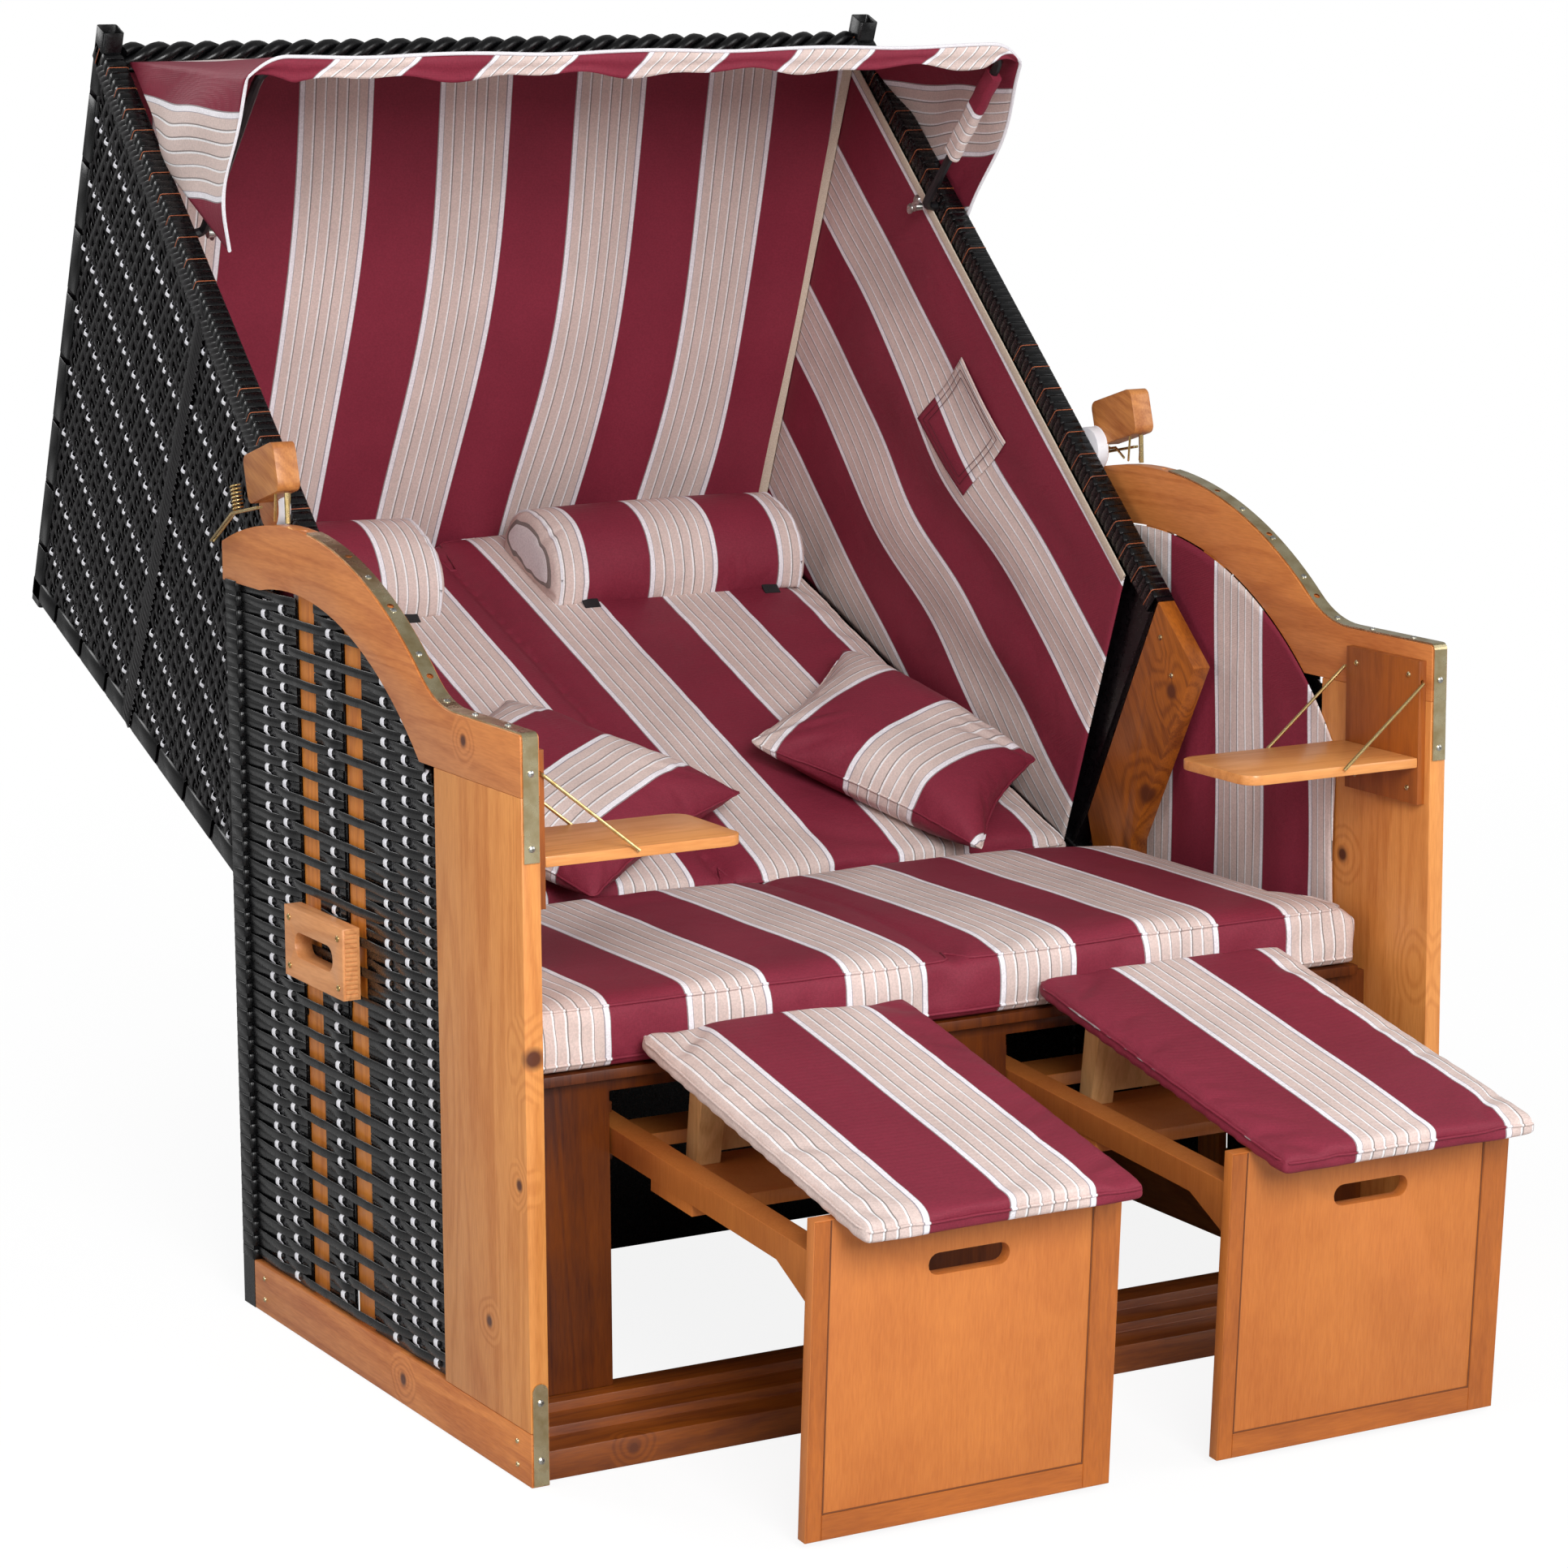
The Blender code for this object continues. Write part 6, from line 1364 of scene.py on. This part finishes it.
# %% Corner straps and ribs
def corner_strap(label, side):
    """A thin upright strip with a rounded head, on the front edge of the post."""
    outline = [(-0.0090, 0.002), (0.0090, 0.002)]
    outline += [(0.0090 * cos(pi * step / 10), 0.106 + 0.0090 * sin(pi * step / 10)) for step in range(11)]
    mesh = bpy.data.meshes.new(f"corner_strap_{label}")
    mesh.from_pydata([(side * FRAME_X + x, -REAR - 0.0021, z) for x, z in outline], [], [tuple(range(len(outline)))])
    piece = link(bpy.data.objects.new(f"corner_strap_{label}", mesh))
    mesh.materials.append(yellow_zinc)
    dress(thickened(piece, 0.0018), f"front_post_{label}")


for label, side in SIDES:
    corner_strap(label, side)
    for end, back, outward in (("front", 0.3468, -1), ("rear", 0.5118, 1)):
        ribs = [[Vector((side * (0.6025 + 0.0030 * step), back, 0.4545 + 0.0053 * rib)) for step in range(6)]
                for rib in range(15)]
        trim(f"handle_ribs_{end}_{label}", ribs, 0.0046, 0.0024, finishes["handle"], f"carry_handle_{label}",
             outward=(0, outward, 0))

# %% [markdown]
# The drawer fronts are plywood in a frame: a stile down each side and a rail along the
# foot, a little proud of the panel, with a dark glue line where they meet it.

# %% Drawer front frames
DROOP = radians(3.9)
FRONT_HINGE = Vector((0, -0.317 - REAR, 0.3184))
FRONT_FACE = -0.0150
PROUD = 0.0011
glue_line = plain_finish("dark_glue_line", "#6E3A16", 0.6)


def on_front(across, deep, up):
    """A place on a drooping drawer front, in the front's own measures."""
    turned = Matrix.Rotation(DROOP, 3, "X") @ Vector((0, deep, up))
    return FRONT_HINGE + Vector((across, turned.y, turned.z))


def proud_strip(name, low, high, finish, node):
    """A thin board on a drawer front, with its edge eased."""
    bm = bmesh.new()
    corners = [(low[0], low[1]), (high[0], low[1]), (high[0], high[1]), (low[0], high[1])]
    floor_ring = [bm.verts.new(on_front(a, FRONT_FACE, b)) for a, b in corners]
    inset = 0.0008
    raised = []
    for (a, b), (sign_a, sign_b) in zip(corners, ((1, 1), (-1, 1), (-1, -1), (1, -1))):
        raised.append(bm.verts.new(on_front(a + sign_a * inset, FRONT_FACE - PROUD, b + sign_b * inset)))
    for a, b in zip(range(4), (1, 2, 3, 0)):
        bm.faces.new((floor_ring[a], floor_ring[b], raised[b], raised[a]))
    bm.faces.new(raised)
    bmesh.ops.recalc_face_normals(bm, faces=bm.faces)
    dress(built(name, bm, finish), node)


finishes["stile"] = stained_wood("stained_pine_stile", "#BC6A28", "#8A4414", "z", blotch=0.3, figured=0.2)
finishes["foot"] = stained_wood("stained_pine_foot", "#BE6C2A", "#8C4616", "x", blotch=0.3, figured=0.2)
for label, side in SIDES:
    node = f"footrest_frame_{label}"
    inner, outer = sorted((side * 0.0700, side * 0.4410))
    for kind, low, high, finish in (
            ("left", (inner, -0.3108), (inner + 0.018, 0.0360), "stile"),
            ("right", (outer - 0.034, -0.3108), (outer, 0.0360), "stile"),
            ("foot", (inner + 0.018, -0.3108), (outer - 0.034, -0.2830), "foot")):
        proud_strip(f"front_frame_{kind}_{label}", low, high, finishes[finish], node)
    joint = [[on_front(inner + 0.0192, -0.0153, up) for up in (-0.2830, 0.0360)],
             [on_front(outer - 0.0352, -0.0153, up) for up in (-0.2830, 0.0360)],
             [on_front(across, -0.0153, -0.2818) for across in (inner + 0.0192, outer - 0.0352)]]
    trim(f"front_joints_{label}", joint, 0.0018, 0.0006, glue_line, node, outward=(0, -1, 0))

# %% [markdown]
# The catch under each wooden grip is bent from brassed wire: a hairpin that hooks over
# the arm, a ball end, and a coil spring beside the disc that pulls the pin home.

# %% Catch wires
def hairpin(side, points, gap):
    """A doubled wire: out along one side, round the end and back along the other."""
    out = [Vector((side * across, back - REAR, up)) for across, back, up in points]
    spread = Vector((side * gap / 2, 0, 0))
    end = out[-1] + (out[-1] - out[-2]).normalized() * gap / 2
    return [spot + spread for spot in out] + [end] + [spot - spread for spot in reversed(out)]


def coil(side, start, end, radius, turns, across):
    start, end = Vector((side * across, *start)), Vector((side * across, *end))
    axis = (end - start).normalized()
    other = axis.cross(ACROSS)
    line = []
    for step in range(turns * 12 + 1):
        angle = 2 * pi * step / 12
        line.append(start.lerp(end, step / (turns * 12)) + (ACROSS * cos(angle) + other * sin(angle)) * radius)
    return line


for label, side in SIDES:
    node = f"lock_pin_{label}"
    wires = [hairpin(side, [(0.6070, 0.6650, 0.9860), (0.6085, 0.7405, 0.9717), (0.6085, 0.8064, 0.9322)], 0.0046)]
    wires += [[Vector((side * (FRAME_X + shift), back - REAR, up))
               for back, up in ((0.6420, 0.9722), (0.6385, 1.0040))]
              for shift in (-0.0085, 0.0085)]
    if side > 0:
        wires += [[Vector((side * 0.5860, back - REAR, up)) for back, up in
                   ((0.6606, 0.9735), (0.6801, 0.9847), (0.7009, 0.9812))]]
    trim(f"catch_wires_{label}", wires, 0.0034, 0.0034, brass_wire, node)
    spring = coil(side, (0.7410 - REAR, 1.0048), (0.7332 - REAR, 0.9750), 0.0062, 7, 0.6050)
    trim(f"catch_spring_{label}", [spring], 0.0022, 0.0022, brass_wire, node)

# %% [markdown]
# The bow turns on a wing nut inside each side bar. At the right a striped sleeve is
# slipped over the bow's leg.

# %% Wing nuts and sleeve
def wing_nut(label, side):
    """A hub with two blunt wings, pressed from one strip and plated."""
    bm = bmesh.new()
    pivot = hooded(side * 0.5050, *AWNING_PIVOT)
    turn = Matrix.Rotation(radians(-35), 4, "X")
    hub = Matrix.Translation(pivot) @ turn @ Matrix.Rotation(pi / 2, 4, "Y")
    bmesh.ops.create_cone(bm, cap_ends=True, segments=20, radius1=0.0068, radius2=0.0052, depth=0.0110, matrix=hub)
    for sign in (-1, 1):
        wing = Matrix.Translation(pivot) @ turn @ Matrix.Translation((-side * 0.0050, sign * 0.0105, 0.0035))
        bmesh.ops.create_uvsphere(bm, u_segments=16, v_segments=10, radius=1.0,
                                  matrix=wing @ Matrix.Diagonal((0.0030, 0.0082, 0.0070, 1)))
    piece = built(f"wing_nut_{label}", bm, pale_zinc)
    smooth_by(piece.data, radians(40))
    dress(piece, "awning_bow")


for label, side in SIDES:
    wing_nut(label, side)
LEG_WAY = (BOW_EDGE - AWNING_PIVOT).normalized()
sleeve = []
for step in range(25):
    spot = AWNING_PIVOT + LEG_WAY * (0.100 + 0.150 * step / 24)
    wide = 1.0 + 0.10 * sin(step * 0.7) + 0.10 * cos(step * 1.7)
    sleeve.append((hooded(0.5163, *spot), 0.35 * sin(step * 0.9), wide))
leg = (hooded(0, *(AWNING_PIVOT + LEG_WAY)) - hooded(0, *AWNING_PIVOT)).normalized()
sleeve_canvas = striped_canvas("canvas_sleeve", leg.dot(hooded(0, *(AWNING_PIVOT + LEG_WAY * 0.235))), axis=leg)
strands("canvas_bow_sleeve", [sleeve], 0.0300, 0.0150, 0.0020, (1, 0, 0), 5, sleeve_canvas, "awning_bow")

# %% [markdown]
# On the right lining sits a patch pocket. It is cut from the same cloth but its bands do
# not meet the lining's, and two rows of dark red thread hold it.

# %% Patch pocket
red_thread = plain_finish("dark_red_thread", "#4A1220", 0.7)
POCKET = [Vector((0, 0.9894, 0.9929)), Vector((0, 0.8845, 1.0831)), Vector((0, 0.7723, 0.9794)),
          Vector((0, 0.8635, 0.9006))]
lining_tree = cover_tree(bpy.data.objects["canvas_hood_lining_r"])


def on_lining(place, lift):
    spot, _, _, _ = lining_tree.ray_cast(Vector((0.30, place.y, place.z)), ACROSS)
    return (spot if spot is not None else Vector((0.52, place.y, place.z))) - ACROSS * lift


def pocket_spot(s, t):
    return POCKET[0].lerp(POCKET[1], t).lerp(POCKET[3].lerp(POCKET[2], t), s)


def pocket_cloth(s, t):
    place = pocket_spot(s, t)
    along, up = (place - hooded(0, 0, 0)).dot(ALONG_HOOD), (place - hooded(0, 0, 0)).dot(UP_HOOD)
    lift = 0.0022 + 0.0030 * sin(pi * s) * t
    return on_lining(place, lift), (edge_up(along) - up) * cos(EDGE_ANGLE) + 0.045, along


pocket, flat, area = cloth_sheet("canvas_patch_pocket", 30, 30, pocket_cloth, canvas["edge"], thick=0.0010)
dress(pocket, "hood_lining_r")
hang(pocket, "hood_lining_r", rides=False)
stitches = []
for inset in (0.012, 0.020):
    low, high = inset / 0.14, 1 - inset / 0.14
    for start, end in (((low, low), (high, low)), ((high, low), (high, high)), ((low, high), (high, high)),
                       ((low, low), (low, high))):
        stitches.append([on_lining(pocket_spot(start[0] + (end[0] - start[0]) * step / 20,
                                               start[1] + (end[1] - start[1]) * step / 20), 0.0058)
                         for step in range(21)])
trim("pocket_stitches", stitches, 0.0009, 0.0006, red_thread, "hood_lining_r", outward=(-1, 0, 0))

# %% [markdown]
# The back of the seat box is woven like the sides, and thin copper-coloured cord lies
# between some of the wraps on the front bars, where the binding was drawn tight.

# %% Seat back weave and cord
BACK_BOX = [(-0.560, 0.020), (0.560, 0.020), (0.560, 0.428), (-0.560, 0.428)]
weave_field("seat_back", BACK_BOX, 0.0125, 0.030, 0.0, lambda across, up: Vector((across, 0.7105, up)),
            (0, 1, 0), "back_panel")
copper_cord = plain_finish("copper_coloured_cord", "#B0603A", 0.45, second="#8A4426")
for label, side in SIDES:
    middle = INTO_HOOD * BAR_MIDDLE
    low, high = Vector(TIP) + EDGE_DIRECTION * 0.128 + middle, Vector(APEX) - EDGE_DIRECTION * 0.02 + middle
    grip = (high - low).normalized() * 0.420
    lines = bar_lines(side, [low, low + grip]) + bar_lines(side, [low + grip * 1.42, high])
    wraps(f"front_bar_cord_{label}", lines, (0.0304, 0.0272), 0.0012, 0.0010, 0.0354, side, copper_cord,
          f"hood_side_{label}")

# %% [markdown]
# A plain floor and soft light from four large panels. The floor is white to the camera
# but keeps most of the shadow: part of its colour is its own and part is lit.

# %% Floor and light
FLOOR_GLOW = 1.06


def white_floor():
    mesh = bpy.data.meshes.new("Floor")
    reach = 60.0
    mesh.from_pydata([(-reach, -reach, -0.001), (reach, -reach, -0.001), (reach, reach, -0.001),
                      (-reach, reach, -0.001)], [], [(0, 1, 2, 3)])
    floor_piece = link(bpy.data.objects.new("Floor", mesh))
    material, tree, shader = new_finish("white_studio_floor")
    set_shader(shader, Roughness=0.9)
    path = add(tree, "ShaderNodeLightPath")
    seen = path.outputs["Is Camera Ray"]
    lit = add(tree, "ShaderNodeMapRange", {0: seen, 3: 0.48, 4: 0.8}).outputs[0]
    tree.links.new(lit, shader.inputs["Base Color"])
    away = add(tree, "ShaderNodeVectorMath", {0: add(tree, "ShaderNodeTexCoord").outputs["Object"]},
               operation="LENGTH").outputs["Value"]
    own = add(tree, "ShaderNodeMapRange", {0: away, 1: 1.7, 2: 4.2, 3: 0.84, 4: 1.0}).outputs[0]
    strength = add(tree, "ShaderNodeMapRange", {0: away, 1: 1.7, 2: 4.2, 3: FLOOR_GLOW, 4: 1.0}).outputs[0]
    share = add(tree, "ShaderNodeMath", {0: seen, 1: own}, operation="MULTIPLY").outputs[0]
    glow = add(tree, "ShaderNodeEmission", {"Color": (1, 1, 1, 1), "Strength": strength}).outputs[0]
    both = add(tree, "ShaderNodeMixShader", {0: share, 1: shader.outputs[0], 2: glow}).outputs[0]
    tree.links.new(both, tree.nodes["Material Output"].inputs["Surface"])
    mesh.materials.append(material)


def studio_world():
    world = bpy.data.worlds.new("Studio")
    world.use_nodes = True
    bpy.context.scene.world = world
    tree = world.node_tree
    path = add(tree, "ShaderNodeLightPath")
    seen = add(tree, "ShaderNodeMath", {0: path.outputs["Is Camera Ray"], 1: path.outputs["Is Transmission Ray"]},
               operation="MAXIMUM").outputs[0]
    strength = add(tree, "ShaderNodeMapRange", {0: seen, 3: 0.33, 4: 1.0}).outputs[0]
    back = tree.nodes["Background"]
    back.inputs["Color"].default_value = (1, 1, 1, 1)
    tree.links.new(strength, back.inputs["Strength"])


def soft_panel(name, place, size, power):
    data = bpy.data.lights.new(name, "AREA")
    data.shape = "SQUARE"
    data.size = size
    data.energy = power
    lamp = link(bpy.data.objects.new(name, data))
    target = Vector((0, 0.2, 0.7))
    lamp.matrix_world = Matrix.Translation(place) @ (
        (target - Vector(place)).to_track_quat("-Z", "Y").to_matrix().to_4x4())


white_floor()
studio_world()
soft_panel("Key", (-1.6, -5.4, 3.3), 2.6, 345)
soft_panel("Fill", (4.2, -2.8, 2.6), 3.0, 90)
soft_panel("Side", (-4.6, -1.0, 2.0), 2.4, 45)
soft_panel("Back", (-2.5, 4.5, 3.8), 3.0, 110)
bpy.context.scene.view_settings.view_transform = "Standard"
print("lamps", 4)
